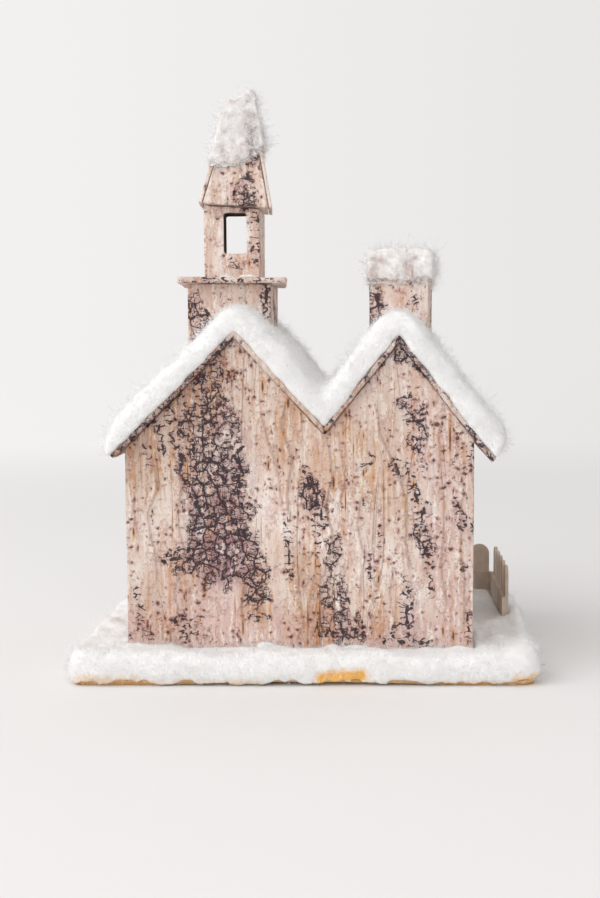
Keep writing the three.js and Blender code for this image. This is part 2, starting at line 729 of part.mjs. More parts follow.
function makeGroundSnow() {
  const top = boardTop + groundSnow;
  const heap = groundSnow * 0.22;
  const level = (share) => (point) => top * share + groundSnowLip * (1 - share) + heap * share * heaps(point.x, point.y);
  const bare = (point) => {
    const away = (point.x + boardWidth / 2 - bareEdgeAlong) / (bareEdgeLength / 2);
    return point.y < 0 ? bareEdgeRise * Math.exp(-(away ** 4)) : 0;
  };
  const ragged = (point) => groundSnowLip + bare(point) + 0.8 * Math.sin(point.x * 0.21) * Math.cos(point.y * 0.17);
  const loops = [
    groundLoop(snowOverhang * 0.5, ragged),
    groundLoop(0, (point) => groundSnowBulge + bare(point) * 0.7 + 0.6 * heaps(point.x, point.y)),
    groundLoop(0.6, level(0.72)),
    groundLoop(2.4, level(0.9)),
    groundLoop(6, level(1)),
    groundLoop(boardDepth * 0.09, level(1)),
    groundLoop(boardDepth * 0.2, level(1)),
    groundLoop(boardDepth * 0.34, level(1)),
    groundLoop(boardDepth * 0.48, level(1)),
  ];
  const spread = glueGap * 2;
  const footing = roundedRectangle(boardWidth + spread, boardDepth + spread, boardCorner + glueGap);
  const houseSpace = block(
    [houseLeft - frameCard - glueGap, houseBack - glueGap, 0],
    [houseRight + frameCard + glueGap, houseFront + glueGap, top * 2],
  );
  const doorway = doorWidth / 2 + doorFrameBand + glueGap;
  const doorSpace = block(
    [leftRidgeX - doorway, houseFront - wallCard, 0],
    [leftRidgeX + doorway, houseFront + doorCard * 1.4 + glueGap, top * 2],
  );
  const board = alongZ(footing, -boardThickness, boardTop + glueGap / 2);
  const snow = cut(loft(loops, "x", "y"), board, houseSpace, doorSpace, ...fenceSlots());
  add("ground_snow", snow, colours.snow);
}

// The cotton's outer line across one roof, from its eave over the ridge to the valley
function snowProfile(eave, ridge, valley, thick) {
  const outward = Math.sign(eave.x - ridge.x);
  const down = eave.clone().sub(ridge).normalize();
  const square = new THREE.Vector2(-down.y, down.x).multiplyScalar(down.x > 0 ? 1 : -1);
  const tip = eave.clone().addScaledVector(down, snowEaveLap);
  const cheek = tip.clone().add(new THREE.Vector2(outward * thick * 0.2, thick * 0.55));
  const length = eave.distanceTo(ridge);
  const place = (share, rise) => ridge.clone().addScaledVector(down, length * share).addScaledVector(square, rise);
  const ridgeTop = new THREE.Vector2(ridge.x, ridge.y + ridgeSnow);
  const valleyTop = new THREE.Vector2(valley.x, valley.y + valleySnow);
  const inner = ridgeTop.clone().lerp(valleyTop, 0.5).add(new THREE.Vector2(-outward * 2, 1));
  const hollow = ridgeTop.clone().lerp(valleyTop, 0.87).add(new THREE.Vector2(0, -ridgeSnow * 0.18));
  const curve = new THREE.SplineCurve([
    tip,
    cheek,
    place(0.86, thick),
    place(0.55, thick),
    place(0.2, thick * 0.96),
    ridgeTop,
    inner,
    hollow,
    valleyTop,
  ]);
  return curve.getPoints(22);
}

function makeRoofSnow() {
  const line = roofLine(roofFace, leftEaveOverhang, rightEaveOverhang);
  const towerSpace = block(
    [towerLeft - glueGap, towerBack - glueGap, 0],
    [towerRight + glueGap, towerFront + glueGap, towerTop],
  );
  const roofs = {
    left_roof_snow: [line[0], line[1], line[2], leftSnow, towerSpace, -1],
    right_roof_snow: [line[4], line[3], line[2], rightSnow, chimneyBlock(0, chimneyTop, glueGap), 1],
  };
  const start = houseBack - gableOverhang;
  const end = houseFront + gableOverhang;
  for (const [name, [eave, ridge, valley, thick, stack, side]] of Object.entries(roofs)) {
    const seam = valley.clone().add(new THREE.Vector2((side * glueGap) / 2, 0));
    const outer = snowProfile(eave, ridge, seam, thick);
    const under = [seam, ridge, eave];
    const loops = [0, 0.012, 0.05, 0.12, 0.24, 0.38, 0.52, 0.66, 0.8, 0.9, 0.955, 0.988, 1].map((t) => {
      const y = start + (end - start) * t;
      const fromEnd = Math.min(t, 1 - t) * (end - start);
      const roundness = Math.min(fromEnd / 9, 1);
      const full = 0.6 + 0.4 * Math.sqrt(1 - (1 - roundness) ** 2);
      const top = outer.map((point) => {
        const base = below(under, point);
        const lump = 1 + 0.07 * roundness * heaps(point.x * 1.6, y * 1.7);
        return base.clone().lerp(point, full * lump);
      });
      top[0] = outer[0].clone();
      return [...top, ...under].map((point) => new THREE.Vector3(point.x, y, point.y));
    });
    const half = side < 0 ? [line[0].x * 2, valley.x - glueGap / 2] : [valley.x + glueGap / 2, line[4].x * 2];
    const room = block([half[0], start, 0], [half[1], end, boardTop + towerHeight]);
    add(name, cut(common(loft(loops, "x", "z"), room), stack), colours.snow);
  }
}

// Where a point of the cotton's outer line rests: straight down on the valley side, square down on the eave side
function below([seam, ridge, eave], point) {
  const [foot, plumb] = (point.x - ridge.x) * (seam.x - ridge.x) > 0 ? [seam, true] : [eave, false];
  const along = foot.clone().sub(ridge);
  const share = plumb ? (point.x - ridge.x) / along.x : point.clone().sub(ridge).dot(along) / along.lengthSq();
  return ridge.clone().addScaledVector(along, THREE.MathUtils.clamp(share, 0, 1));
}

makeBoard();
makeWalls();
makeWindows();
makeDoor();
makeRoofs();
makeTower();
makeBelfry();
makeCap();
makeChimney();
makeFence();
makeGroundSnow();
makeRoofSnow();

export default house;
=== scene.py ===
import itertools
import math

import bpy
import numpy as np
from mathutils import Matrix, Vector


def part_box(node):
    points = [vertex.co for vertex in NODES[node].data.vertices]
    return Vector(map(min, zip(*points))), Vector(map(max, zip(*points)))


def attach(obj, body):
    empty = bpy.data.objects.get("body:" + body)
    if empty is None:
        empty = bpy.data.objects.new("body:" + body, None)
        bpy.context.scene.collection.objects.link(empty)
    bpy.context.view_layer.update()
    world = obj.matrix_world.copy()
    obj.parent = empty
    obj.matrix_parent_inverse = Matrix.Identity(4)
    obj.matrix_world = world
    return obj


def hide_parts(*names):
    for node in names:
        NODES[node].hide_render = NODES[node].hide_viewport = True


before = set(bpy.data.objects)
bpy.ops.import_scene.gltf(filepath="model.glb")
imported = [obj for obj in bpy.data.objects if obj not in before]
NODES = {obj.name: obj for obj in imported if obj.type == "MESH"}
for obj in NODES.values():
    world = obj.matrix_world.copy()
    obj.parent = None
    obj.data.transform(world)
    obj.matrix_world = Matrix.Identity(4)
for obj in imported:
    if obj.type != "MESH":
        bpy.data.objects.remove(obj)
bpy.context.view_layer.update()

MM = 0.001
BODY = "root"

# Places on the house, in mm: the outer faces of its walls, roughly the valley between its gables, the top of
# the base board, and how far the roof stands out past the gables
REAR_FACE = -76.0
FRONT_FACE = 34.0
LEFT_FACE, RIGHT_FACE = -89.0, 85.0
VALLEY = 10.0
BOARD_TOP = 9.0
GABLE_OVERHANG = 3.5


# Modelling helpers
def only(*objects):
    """Selects these objects alone, the first of them active."""
    bpy.ops.object.select_all(action="DESELECT")
    for each in objects:
        each.select_set(True)
    bpy.context.view_layer.objects.active = objects[0]


def apply(piece, kind, **settings):
    """Puts a modifier on a piece and applies it."""
    only(piece)
    modifier = piece.modifiers.new(kind.lower(), kind)
    for name, value in settings.items():
        setattr(modifier, name, value)
    bpy.ops.object.modifier_apply(modifier=modifier.name)


def merged_copy(name, nodes):
    """One mesh from copies of CAD nodes, with their loose triangles joined up."""
    copies = []
    for node in nodes:
        copy = bpy.data.objects.new(name, NODES[node].data.copy())
        bpy.context.scene.collection.objects.link(copy)
        copies.append(copy)
    only(*copies)
    if len(copies) > 1:
        bpy.ops.object.join()
    piece = bpy.context.object
    piece.name = name
    piece.data.materials.clear()
    bpy.ops.object.mode_set(mode="EDIT")
    bpy.ops.mesh.select_all(action="SELECT")
    bpy.ops.mesh.remove_doubles(threshold=0.01 * MM)
    bpy.ops.object.mode_set(mode="OBJECT")
    return piece


def skin(name, nodes, fineness):
    """A closed even skin over CAD nodes, fine enough to be creased and ruffled."""
    piece = merged_copy(name, nodes)
    apply(piece, "REMESH", mode="VOXEL", voxel_size=fineness * MM, use_smooth_shade=True)
    return piece


def read(piece, what, width=3, of="vertices"):
    """A number list of a mesh's vertices or faces, as an array."""
    items = getattr(piece.data, of)
    values = np.zeros(len(items) * width)
    items.foreach_get(what, values)
    return values.reshape(-1, width) if width > 1 else values


def move_to(piece, points):
    piece.data.vertices.foreach_set("co", points.ravel())
    piece.data.update()


def taken_apart(piece):
    """The corners and faces of a pattern piece, which is then removed."""
    points = read(piece, "co")
    faces = [tuple(face.vertices) for face in piece.data.polygons]
    bpy.data.objects.remove(piece)
    return points, faces


def repeated(faces, corners, count):
    """The faces of a piece with this many corners, for so many copies of it in a row."""
    return [tuple(index + corners * each for index in face) for each in range(count) for face in faces]


def along(ways, amounts):
    """Steps along each way by each of its amounts: one row of places for each way."""
    return ways[:, None, :] * amounts[..., None]


def store(piece, name, values):
    """Keeps a value for each vertex, for the materials to read."""
    layer = piece.data.attributes.new(name, "FLOAT", "POINT")
    layer.data.foreach_set("value", values.astype(np.float32))


def finish(piece, material, replaced=()):
    """Gives a finished piece its material and its place on the body, and hides the nodes it stands for."""
    piece.data.materials.clear()
    piece.data.materials.append(material)
    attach(piece, BODY)
    if replaced:
        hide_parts(*replaced)
    return piece


def lumps(points, size, seed=0):
    """Smooth lumps from -1 to 1, about one size across in mm; a size of three values stretches them."""
    grid = points / (np.array(size) * MM) + seed * 17.31
    cell = np.floor(grid).astype(np.int64)
    part = grid - cell
    part = part * part * (3.0 - 2.0 * part)
    total = np.zeros(len(points))
    for corner in itertools.product((0, 1), repeat=3):
        spot = cell + np.array(corner)
        key = spot[:, 0] * 73856093 ^ spot[:, 1] * 19349663 ^ spot[:, 2] * 83492791
        key = (key ^ (key >> 13)) * 1274126177
        value = ((key ^ (key >> 16)) & 0xFFFF) / 32767.5 - 1.0
        total += value * np.prod(np.where(corner, part, 1.0 - part), axis=1)
    return total


def unit(vectors):
    return vectors / np.maximum(np.linalg.norm(vectors, axis=1), 1e-9)[:, None]


def ramp(value, low, high):
    """Runs softly from 0 at low to 1 at high."""
    t = np.clip((value - low) / (high - low), 0.0, 1.0)
    return t * t * (3.0 - 2.0 * t)


def strength_at(points, marks, top=1.0):
    """How strongly marks lie on each point. A mark runs from place to place and fades past its reach."""
    strongest = np.zeros(len(points))
    for start, end, reach, strength in marks:
        a, b = np.array(start) * MM, np.array(end) * MM
        run = max(float((b - a) @ (b - a)), 1e-12)
        share = np.clip((points - a) @ (b - a) / run, 0.0, 1.0)
        gap = np.linalg.norm(points - a - share[:, None] * (b - a), axis=1) / (reach * MM)
        strongest = np.maximum(strongest, strength * np.clip(1.5 - gap, 0.0, top))
    return strongest


def on_wall(marks, face=REAR_FACE):
    """Marks written across and up a wall, (x, z, x, z, reach, strength), set on its face."""
    return [((x0, face, z0), (x1, face, z1), reach, strength) for x0, z0, x1, z1, reach, strength in marks]


# Node helpers
def plug(tree, socket, value):
    """Gives an input a value, or links it to another node's output."""
    if isinstance(value, bpy.types.NodeSocket):
        tree.links.new(value, socket)
    else:
        socket.default_value = value


def place(tree, kind, inputs=None, **settings):
    """Adds a node, sets it up and feeds its inputs with values or with other nodes' outputs."""
    node = tree.nodes.new(kind)
    for name, value in settings.items():
        setattr(node, name, value)
    for key, value in (inputs or {}).items():
        plug(tree, node.inputs[key], value)
    return node


def maths(tree, operation, *values):
    return place(tree, "ShaderNodeMath", dict(enumerate(values)), operation=operation).outputs[0]


def vector_maths(tree, operation, *values):
    return place(tree, "ShaderNodeVectorMath", dict(enumerate(values)), operation=operation).outputs[0]


def times(tree, first, *others):
    for other in others:
        first = maths(tree, "MULTIPLY", first, other)
    return first


def most(tree, first, *others):
    for other in others:
        first = maths(tree, "MAXIMUM", first, other)
    return first


def less(tree, value):
    """What a mask leaves free: 1 less its value."""
    return maths(tree, "SUBTRACT", 1.0, value)


def clamped(tree, value):
    return place(tree, "ShaderNodeClamp", {"Value": value}).outputs[0]


def fade(tree, value, low, high):
    """A soft mask: 0 below low, 1 above high. With low above high it is turned round."""
    inputs = {"Value": value, "From Min": low, "From Max": high}
    return place(tree, "ShaderNodeMapRange", inputs, interpolation_type="SMOOTHSTEP").outputs[0]


def tint(tree, amount, under, over, blend="MIX"):
    inputs = {"Factor": amount, 6: under, 7: over}
    return place(tree, "ShaderNodeMix", inputs, data_type="RGBA", blend_type=blend).outputs[2]


def wash(tree, colour, over, mask, share, blend="MIX"):
    """Lays a colour over another where a mask lies, at this share of the mask's strength."""
    return tint(tree, times(tree, mask, share), colour, over, blend)


def stretched(tree, spot, across, high=None):
    """The same place in units of a pattern that repeats so many times in a metre across, and so many up."""
    repeats = place(tree, "ShaderNodeCombineXYZ", {0: across, 1: across, 2: across if high is None else high})
    return vector_maths(tree, "MULTIPLY", spot, repeats.outputs[0])


def cloud(tree, spot, across, high=None, detail=2.0, output="Fac", **more):
    """A cloudy pattern, stretched to its repeats across and up."""
    inputs = {"Vector": stretched(tree, spot, across, high), "Scale": 1.0, "Detail": detail, **more}
    return place(tree, "ShaderNodeTexNoise", inputs).outputs[output]


def mottle(tree, spot, across, high, low, top, detail=2.0):
    """A mask of the places where a cloudy pattern rises from low to top."""
    return fade(tree, cloud(tree, spot, across, high, detail), low, top)


def cells(tree, spot, across, high, feature="F1", randomness=1.0):
    """A pattern of uneven cells: what it puts out."""
    inputs = {"Vector": stretched(tree, spot, across, high), "Scale": 1.0, "Randomness": randomness}
    return place(tree, "ShaderNodeTexVoronoi", inputs, feature=feature).outputs


def new_group(name, inputs, outputs):
    """A node group with named values going in and colours, masks or heights coming out."""
    tree = bpy.data.node_groups.new(name, "ShaderNodeTree")
    for label, default in inputs.items():
        kind = "NodeSocketFloat" if isinstance(default, float) else "NodeSocketColor"
        tree.interface.new_socket(label, in_out="INPUT", socket_type=kind).default_value = default
    for label, kind in outputs.items():
        tree.interface.new_socket(label, in_out="OUTPUT", socket_type="NodeSocket" + kind)
    return tree, place(tree, "NodeGroupInput").outputs, place(tree, "NodeGroupOutput").inputs


def use(tree, group, **inputs):
    """Places a node group in a tree: what it puts out."""
    return place(tree, "ShaderNodeGroup", inputs, node_tree=group).outputs


def new_material(name):
    """A material's tree and its Principled shader."""
    material = bpy.data.materials.new(name)
    material.use_nodes = True
    return material, material.node_tree, material.node_tree.nodes["Principled BSDF"]


def feed(tree, shader, **inputs):
    """Feeds a shader's inputs, with _ for each space in their names."""
    for label, value in inputs.items():
        plug(tree, shader.inputs[label.replace("_", " ")], value)


def relief(tree, shader, height, distance):
    """Feeds a height pattern, this many mm deep, to the shader's normal."""
    inputs = {"Height": height, "Distance": distance * MM, "Strength": 1.0}
    plug(tree, shader.inputs["Normal"], place(tree, "ShaderNodeBump", inputs).outputs[0])


def vertex_value(tree, name):
    return place(tree, "ShaderNodeAttribute", attribute_name=name).outputs["Fac"]


def here(tree):
    return place(tree, "ShaderNodeTexCoord").outputs["Object"]


def jolted(tree, from_place, spot, across, high, reach):
    """Places shifted up to half this many mm each way, so that what is drawn there has uneven edges."""
    wander = cloud(tree, spot, across, high, output="Color")
    shift = vector_maths(tree, "SUBTRACT", wander, (0.5,) * 3)
    return vector_maths(tree, "MULTIPLY_ADD", shift, (reach * MM,) * 3, from_place)


# Felted card
def card_fibre_group():
    """The short felted fibres of pulp card and paper: a fleck mask and a height."""
    tree, given, out = new_group("card_fibre", {"Length": 1.0}, {"Fleck": "Float", "Height": "Float"})
    spot = here(tree)
    wander = cloud(tree, spot, 180, output="Color")
    bent = vector_maths(tree, "MULTIPLY_ADD", spot, wander, (0.006,) * 3)
    fibres_across = 2100.0
    fine = cloud(tree, bent, fibres_across, maths(tree, "DIVIDE", fibres_across, given["Length"]), 3.0)
    plug(tree, out["Fleck"], fade(tree, fine, 0.56, 0.72))
    plug(tree, out["Height"], fine)
    return tree


# Colours of the printed bark
CREAM = (0.87, 0.765, 0.70, 1)
PALE = (0.94, 0.86, 0.80, 1)
BEIGE = (0.76, 0.59, 0.505, 1)
PINK = (0.71, 0.485, 0.45, 1)
PEACH = (0.73, 0.47, 0.33, 1)
TAN = (0.45, 0.25, 0.18, 1)
ORANGE = (0.64, 0.31, 0.12, 1)
OCHRE_BROWN = (0.60, 0.45, 0.28, 1)
RED = (0.38, 0.15, 0.12, 1)
DEEP_RED = (0.34, 0.17, 0.17, 1)
PURPLE = (0.30, 0.165, 0.185, 1)
DOT_BROWN = (0.080, 0.030, 0.024, 1)
BLACK = (0.026, 0.014, 0.024, 1)


def bark_ground(tree, given, spot, bent, jagged):
    """Cream paper clouded with beige and pink, with soft upright streaks."""
    colour = tint(tree, mottle(tree, spot, 80, 28, 0.36, 0.66, 3.0), CREAM, BEIGE)
    rosy = maths(tree, "MULTIPLY_ADD", cloud(tree, bent, 200, 60, 3.0), 1.3, -0.52)
    rosy = fade(tree, maths(tree, "ADD", rosy, given["Blush"]), 0.06, 0.85)
    colour = wash(tree, colour, PINK, rosy, 0.80)
    for over, share, start, across, high, low, top, detail in (
        (PEACH, 0.55, spot, 300, 20, 0.50, 0.68, 3.0),
        (PALE, 0.72, jagged, 420, 34, 0.53, 0.66, 2.0),
        (TAN, 0.30, jagged, 900, 150, 0.54, 0.72, 3.0),
        (RED, 0.30, spot, 620, 520, 0.56, 0.70, 3.0),
    ):
        colour = wash(tree, colour, over, mottle(tree, start, across, high, low, top, detail), share)
    streaks = maths(tree, "MULTIPLY_ADD", given["Ochre"], 0.15, cloud(tree, jagged, 560, 36))
    colour = wash(tree, colour, ORANGE, fade(tree, streaks, 0.64, 0.74), 0.60)
    return wash(tree, colour, OCHRE_BROWN, given["Ochre"], 0.40, "MULTIPLY")


def net(tree, spot, across, high, randomness=1.0):
    """How far each place is from the lines between blocky cells, in cells."""
    return cells(tree, spot, across, high, "DISTANCE_TO_EDGE", randomness)["Distance"]


def drawn(tree, away, wide):
    """A line where the distance from it is less than its half width."""
    return less(tree, fade(tree, maths(tree, "DIVIDE", away, wide), 0.55, 1.0))


def ladder(tree, spot, length, width, line):
    """Upright lines with rungs between them, as squarish cells of a size in mm."""
    apart = place(tree, "ShaderNodeSeparateXYZ", {0: spot}).outputs
    flat = place(tree, "ShaderNodeCombineXYZ", {0: apart[2], 1: maths(tree, "ADD", apart[0], apart[1])})
    sizes = {
        "Vector": flat.outputs[0], "Scale": 1.0 / MM, "Mortar Size": line, "Mortar Smooth": 0.5,
        "Brick Width": length, "Row Height": width,
    }
    bricks = place(tree, "ShaderNodeTexBrick", sizes, offset=0.43, squash=1.6, squash_frequency=3)
    return bricks.outputs["Fac"]


def bark_crackle(tree, given, spot, jagged, char, thorn):
    """The black lines of the crackle, and the wider edging that lies along them."""
    reach = fade(tree, char, 0.24, 0.50)
    near_spine = fade(tree, thorn, 0.42, 0.72)
    broken = cloud(tree, spot, 420, 380)
    kept = fade(tree, maths(tree, "MULTIPLY_ADD", char, 0.22, broken), 0.50, 0.58)

    # Bold lines between large cells, wider where Char is high, and two ladders of upright lines
    large = net(tree, jagged, 165, 170)
    bold = times(tree, drawn(tree, large, maths(tree, "MULTIPLY_ADD", char, 0.052, 0.040)), reach, kept)
    square = times(tree, ladder(tree, jagged, 3.2, 3.6, 0.38), reach, fade(tree, broken, 0.46, 0.52))
    squat = times(tree, ladder(tree, jagged, 1.9, 6.1, 0.26), reach, mottle(tree, spot, 260, 220, 0.52, 0.58))

    # Short thorns stand out from the bold lines; where the stain lies they close into a finer net
    dense = most(tree, mottle(tree, spot, 130, 100, 0.50, 0.60), given["Stain"])
    near_bold = less(tree, fade(tree, large, 0.17, 0.30))
    thorny = most(tree, times(tree, near_bold, 0.8), times(tree, dense, 0.9))
    thorns = times(tree, drawn(tree, net(tree, jagged, 255, 430, 0.8), 0.070), thorny, reach)
    thorns = times(tree, thorns, fade(tree, maths(tree, "MULTIPLY_ADD", dense, 0.05, broken), 0.46, 0.54))
    grit = drawn(tree, net(tree, jagged, 700, 620), 0.12)
    grit = times(tree, grit, mottle(tree, spot, 330, 260, 0.54, 0.62), fade(tree, char, 0.40, 0.75))

    # A thin mark has a ragged spine of its own with thorns across it
    spine = times(tree, fade(tree, thorn, 1.32, 1.44), fade(tree, broken, 0.42, 0.48))
    rungs = drawn(tree, net(tree, jagged, 140, 330), 0.105)
    rungs = times(tree, rungs, near_spine, fade(tree, broken, 0.44, 0.50))

    beside_bold = times(tree, less(tree, fade(tree, large, 0.07, 0.17)), reach, kept)
    edging = most(tree, beside_bold, times(tree, near_spine, 0.5))
    return most(tree, bold, square, squat, thorns, grit, spine, rungs), edging


# Dots and dashes: cells across and up in a metre, share of the cells left empty, size, and whether upright
DOT_KINDS = (
    (520, 30, 0.72, 0.95, True), (400, 90, 0.76, 1.2, True), (300, 470, 0.76, 1.6, False),
    (520, 240, 0.78, 1.5, False), (420, 390, 0.78, 1.7, False), (950, 700, 0.76, 1.1, False),
)


def bark_dots(tree, given, spot, jagged):
    """Dots and upright hairlines, in crowds, then the rings round the hairlines and those round the dots."""
    crowd = maths(tree, "MULTIPLY_ADD", cloud(tree, spot, 48, 34, 3.0), 0.50, -0.265)
    dots = []
    rings = {True: [], False: []}
    for across, high, empty, size, upright in DOT_KINDS:
        each = cells(tree, spot if upright else jagged, across, high)
        hit = place(tree, "ShaderNodeSeparateColor", {0: each["Color"]}).outputs[0]
        hit = maths(tree, "MULTIPLY_ADD", given["Blush"], 0.05, maths(tree, "ADD", hit, crowd))
        radius = most(tree, times(tree, maths(tree, "SUBTRACT", hit, empty), size), 0.0001)
        away = maths(tree, "DIVIDE", each["Distance"], radius)
        dots.append(times(tree, less(tree, fade(tree, away, 0.62, 1.0)), 0.86))
        rings[upright].append(less(tree, fade(tree, away, 0.9, 2.6)))
    return most(tree, *dots), most(tree, *rings[True]), most(tree, *rings[False])


def bark_height(tree, spot, bent, crackle):
    """Paper relief: ribs, and sharp folds where a stretched cloud passes its middle."""
    height = maths(tree, "MULTIPLY_ADD", cloud(tree, bent, 260, 34, 3.0), 1.3, times(tree, crackle, 0.14))
    for across, high, low, rise in ((60, 6, 0.46, 1.3), (120, 14, 0.54, 0.8)):
        away = maths(tree, "ABSOLUTE", maths(tree, "SUBTRACT", cloud(tree, spot, across, high, 1.0), 0.5))
        folded = mottle(tree, spot, 50, 22, low, low + 0.08, 1.0)
        ridge = times(tree, less(tree, fade(tree, away, 0.0, 0.022)), folded)
        height = maths(tree, "MULTIPLY_ADD", ridge, rise, height)
    return height


# What the print is told for each vertex, under these names in small letters
# The crease value is not print: it carries painted shade along the paper's creases and folds
PRINT_VALUES = ("Char", "Thorn", "Stain", "Ochre", "Blush", "Crease_Shade")


def bark_print_group():
    """Birch bark as printed on the paper: cream with soft upright streaks, hairlines with an orange glow,
    dark dots, and thorny black crackle where Char, Thorn or Stain is high."""
    outs = {"Color": "Color", "Roughness": "Float", "Height": "Float"}
    tree, given, out = new_group("bark_print", dict.fromkeys(PRINT_VALUES, 0.0), outs)
    spot = here(tree)
    bent = jolted(tree, spot, spot, 240, 200, 3.4)
    jagged = jolted(tree, bent, spot, 1000, 900, 1.1)

    ragged = maths(tree, "SUBTRACT", cloud(tree, spot, 230, 150, 4.0), 0.5)
    char = clamped(tree, maths(tree, "MULTIPLY_ADD", ragged, 2.0, given["Char"]))
    thorn = maths(tree, "MULTIPLY_ADD", ragged, 1.3, given["Thorn"])
    crackle, edging = bark_crackle(tree, given, spot, jagged, char, thorn)
    dots, glow, halo = bark_dots(tree, given, spot, jagged)
    blots = times(tree, given["Stain"], mottle(tree, jagged, 300, 190, 0.38, 0.58, 3.0))
    faint = drawn(tree, net(tree, jagged, 420, 230), 0.10)
    faint = times(tree, faint, mottle(tree, spot, 120, 70, 0.50, 0.62))

    colour = bark_ground(tree, given, spot, bent, jagged)
    for over, mask, share in (
        (PURPLE, fade(tree, char, 0.24, 0.50), 0.17), (PURPLE, blots, 0.85), (DEEP_RED, edging, 0.30),
        (RED, faint, 0.36), (ORANGE, glow, 0.60), (RED, halo, 0.50), (DOT_BROWN, dots, 1.0),
        # painted shade: the tan wash on the crease mask darkens the paper along its creases and folds
        (BLACK, crackle, 0.95), (TAN, given["Crease_Shade"], 0.55),
    ):
        colour = wash(tree, colour, over, mask, share)
    inked = most(tree, dots, crackle)
    plug(tree, out["Color"], colour)
    plug(tree, out["Roughness"], maths(tree, "MULTIPLY_ADD", inked, -0.18, 0.86))
    plug(tree, out["Height"], bark_height(tree, spot, bent, crackle))
    return tree


CARD_FIBRE = card_fibre_group()
BARK_PRINT = bark_print_group()


# Materials
def make_bark_paper():
    """Matt bark-print paper; where the card is bare inside it is plain grey-brown chipboard."""
    material, tree, shader = new_material("bark_paper")
    bark = use(tree, BARK_PRINT, **{label: vertex_value(tree, label.lower()) for label in PRINT_VALUES})
    fibre = use(tree, CARD_FIBRE, Length=5.0)
    colour = wash(tree, bark["Color"], (0.86, 0.80, 0.74, 1), fibre["Fleck"], 0.16)
    chip = tint(tree, fibre["Fleck"], (0.20, 0.155, 0.125, 1), (0.33, 0.26, 0.21, 1))
    colour = tint(tree, vertex_value(tree, "bare"), colour, chip)
    feed(tree, shader, Base_Color=colour, Roughness=bark["Roughness"], Specular_IOR_Level=0.25)
    relief(tree, shader, maths(tree, "MULTIPLY_ADD", fibre["Height"], 0.55, bark["Height"]), 0.62)
    return material


def make_cotton(name, under=None):
    """White cotton wool: matt, downy and a little uneven. Where it is teased thin, what lies under it shows
    faintly: a given colour, or else the bark print."""
    material, tree, shader = new_material(name)
    spot = here(tree)
    swirl = cloud(tree, spot, 420, detail=4.0, Distortion=1.6, Roughness=0.6)
    soft = fade(tree, cloud(tree, spot, 90), 0.35, 0.65)
    colour = tint(tree, soft, (0.965, 0.958, 0.950, 1), (0.990, 0.985, 0.980, 1))
    colour = wash(tree, colour, (0.82, 0.80, 0.785, 1), fade(tree, swirl, 0.60, 0.44), 0.10)
    if under is None:
        under = use(tree, BARK_PRINT, Char=vertex_value(tree, "char"))["Color"]
        under = tint(tree, 0.40, under, (0.36, 0.32, 0.33, 1))
    patchy = maths(tree, "MULTIPLY_ADD", cloud(tree, spot, 260, 220, 3.0), 1.7, -0.85)
    teased = vertex_value(tree, "thin")
    most_bare = maths(tree, "MULTIPLY_ADD", fade(tree, teased, 0.85, 1.2), 0.24, 0.74)
    thin = clamped(tree, maths(tree, "ADD", teased, patchy))
    thin = times(tree, thin, times(tree, fade(tree, teased, 0.0, 0.20), most_bare))
    colour = tint(tree, thin, colour, under)
    feed(tree, shader, Base_Color=colour, Roughness=1.0, Specular_IOR_Level=0.05)
    down = cloud(tree, spot, 640, detail=4.0, Distortion=1.2, Roughness=0.75)
    relief(tree, shader, maths(tree, "MULTIPLY_ADD", down, 0.85, swirl), 0.74)
    return material


def make_strands():
    """Loose cotton fibres, whiter than the pad they rise from."""
    material, tree, shader = new_material("cotton_fibre")
    tone = fade(tree, cloud(tree, here(tree), 300, detail=1.0), 0.3, 0.7)
    colour = tint(tree, tone, (0.965, 0.96, 0.955, 1), (0.99, 0.985, 0.98, 1))
    feed(tree, shader, Base_Color=colour, Roughness=0.95, Specular_IOR_Level=0.1)
    feed(tree, shader, Sheen_Weight=0.5, Sheen_Roughness=0.5)
    return material


def make_metal(name, bright, dull, tone, metallic, smooth, rougher):
    """Metal or mica that goes from bright and smooth to dull and rougher by a tone."""
    material, tree, shader = new_material(name)
    mask = tone(tree)
    roughness = maths(tree, "MULTIPLY_ADD", mask, rougher, smooth)
    feed(tree, shader, Metallic=metallic, Base_Color=tint(tree, mask, bright, dull), Roughness=roughness)
    return material


def mica_tone(tree):
    return fade(tree, cloud(tree, here(tree), 900, detail=1.0), 0.35, 0.65)


def tarnish(tree):
    return fade(tree, cloud(tree, here(tree), 700, detail=3.0), 0.4, 0.65)


def make_board():
    """Bare pulp board: yellow-orange, in thin pressed layers at its edge, with painted shade darkening its
    lowest 2 mm, for the shadow gap where it meets the table.
    """
    material, tree, shader = new_material("bare_board")
    spot = here(tree)
    fibre = use(tree, CARD_FIBRE, Length=0.4)
    layers = cloud(tree, spot, 28, 1500, 3.0)
    up = place(tree, "ShaderNodeSeparateXYZ", {0: spot}).outputs[2]
    patches = mottle(tree, spot, 60, 90, 0.35, 0.65, 3.0)
    colour = tint(tree, patches, (0.86, 0.53, 0.24, 1), (0.74, 0.40, 0.13, 1))
    for over, mask, share in (
        ((0.93, 0.70, 0.42, 1), fade(tree, layers, 0.50, 0.66), 0.5),
        ((0.46, 0.22, 0.07, 1), fade(tree, layers, 0.46, 0.34), 0.5),
        # painted shade: dark brown over the lowest 2.2 mm of the board, for the shadow gap under it
        ((0.30, 0.15, 0.06, 1), fade(tree, up, 2.2 * MM, 0.0), 0.6),
        ((0.55, 0.30, 0.12, 1), fibre["Fleck"], 0.25),
    ):
        colour = wash(tree, colour, over, mask, share)
    feed(tree, shader, Base_Color=colour, Roughness=0.85, Specular_IOR_Level=0.2)
    relief(tree, shader, maths(tree, "ADD", layers, fibre["Height"]), 0.3)
    return material


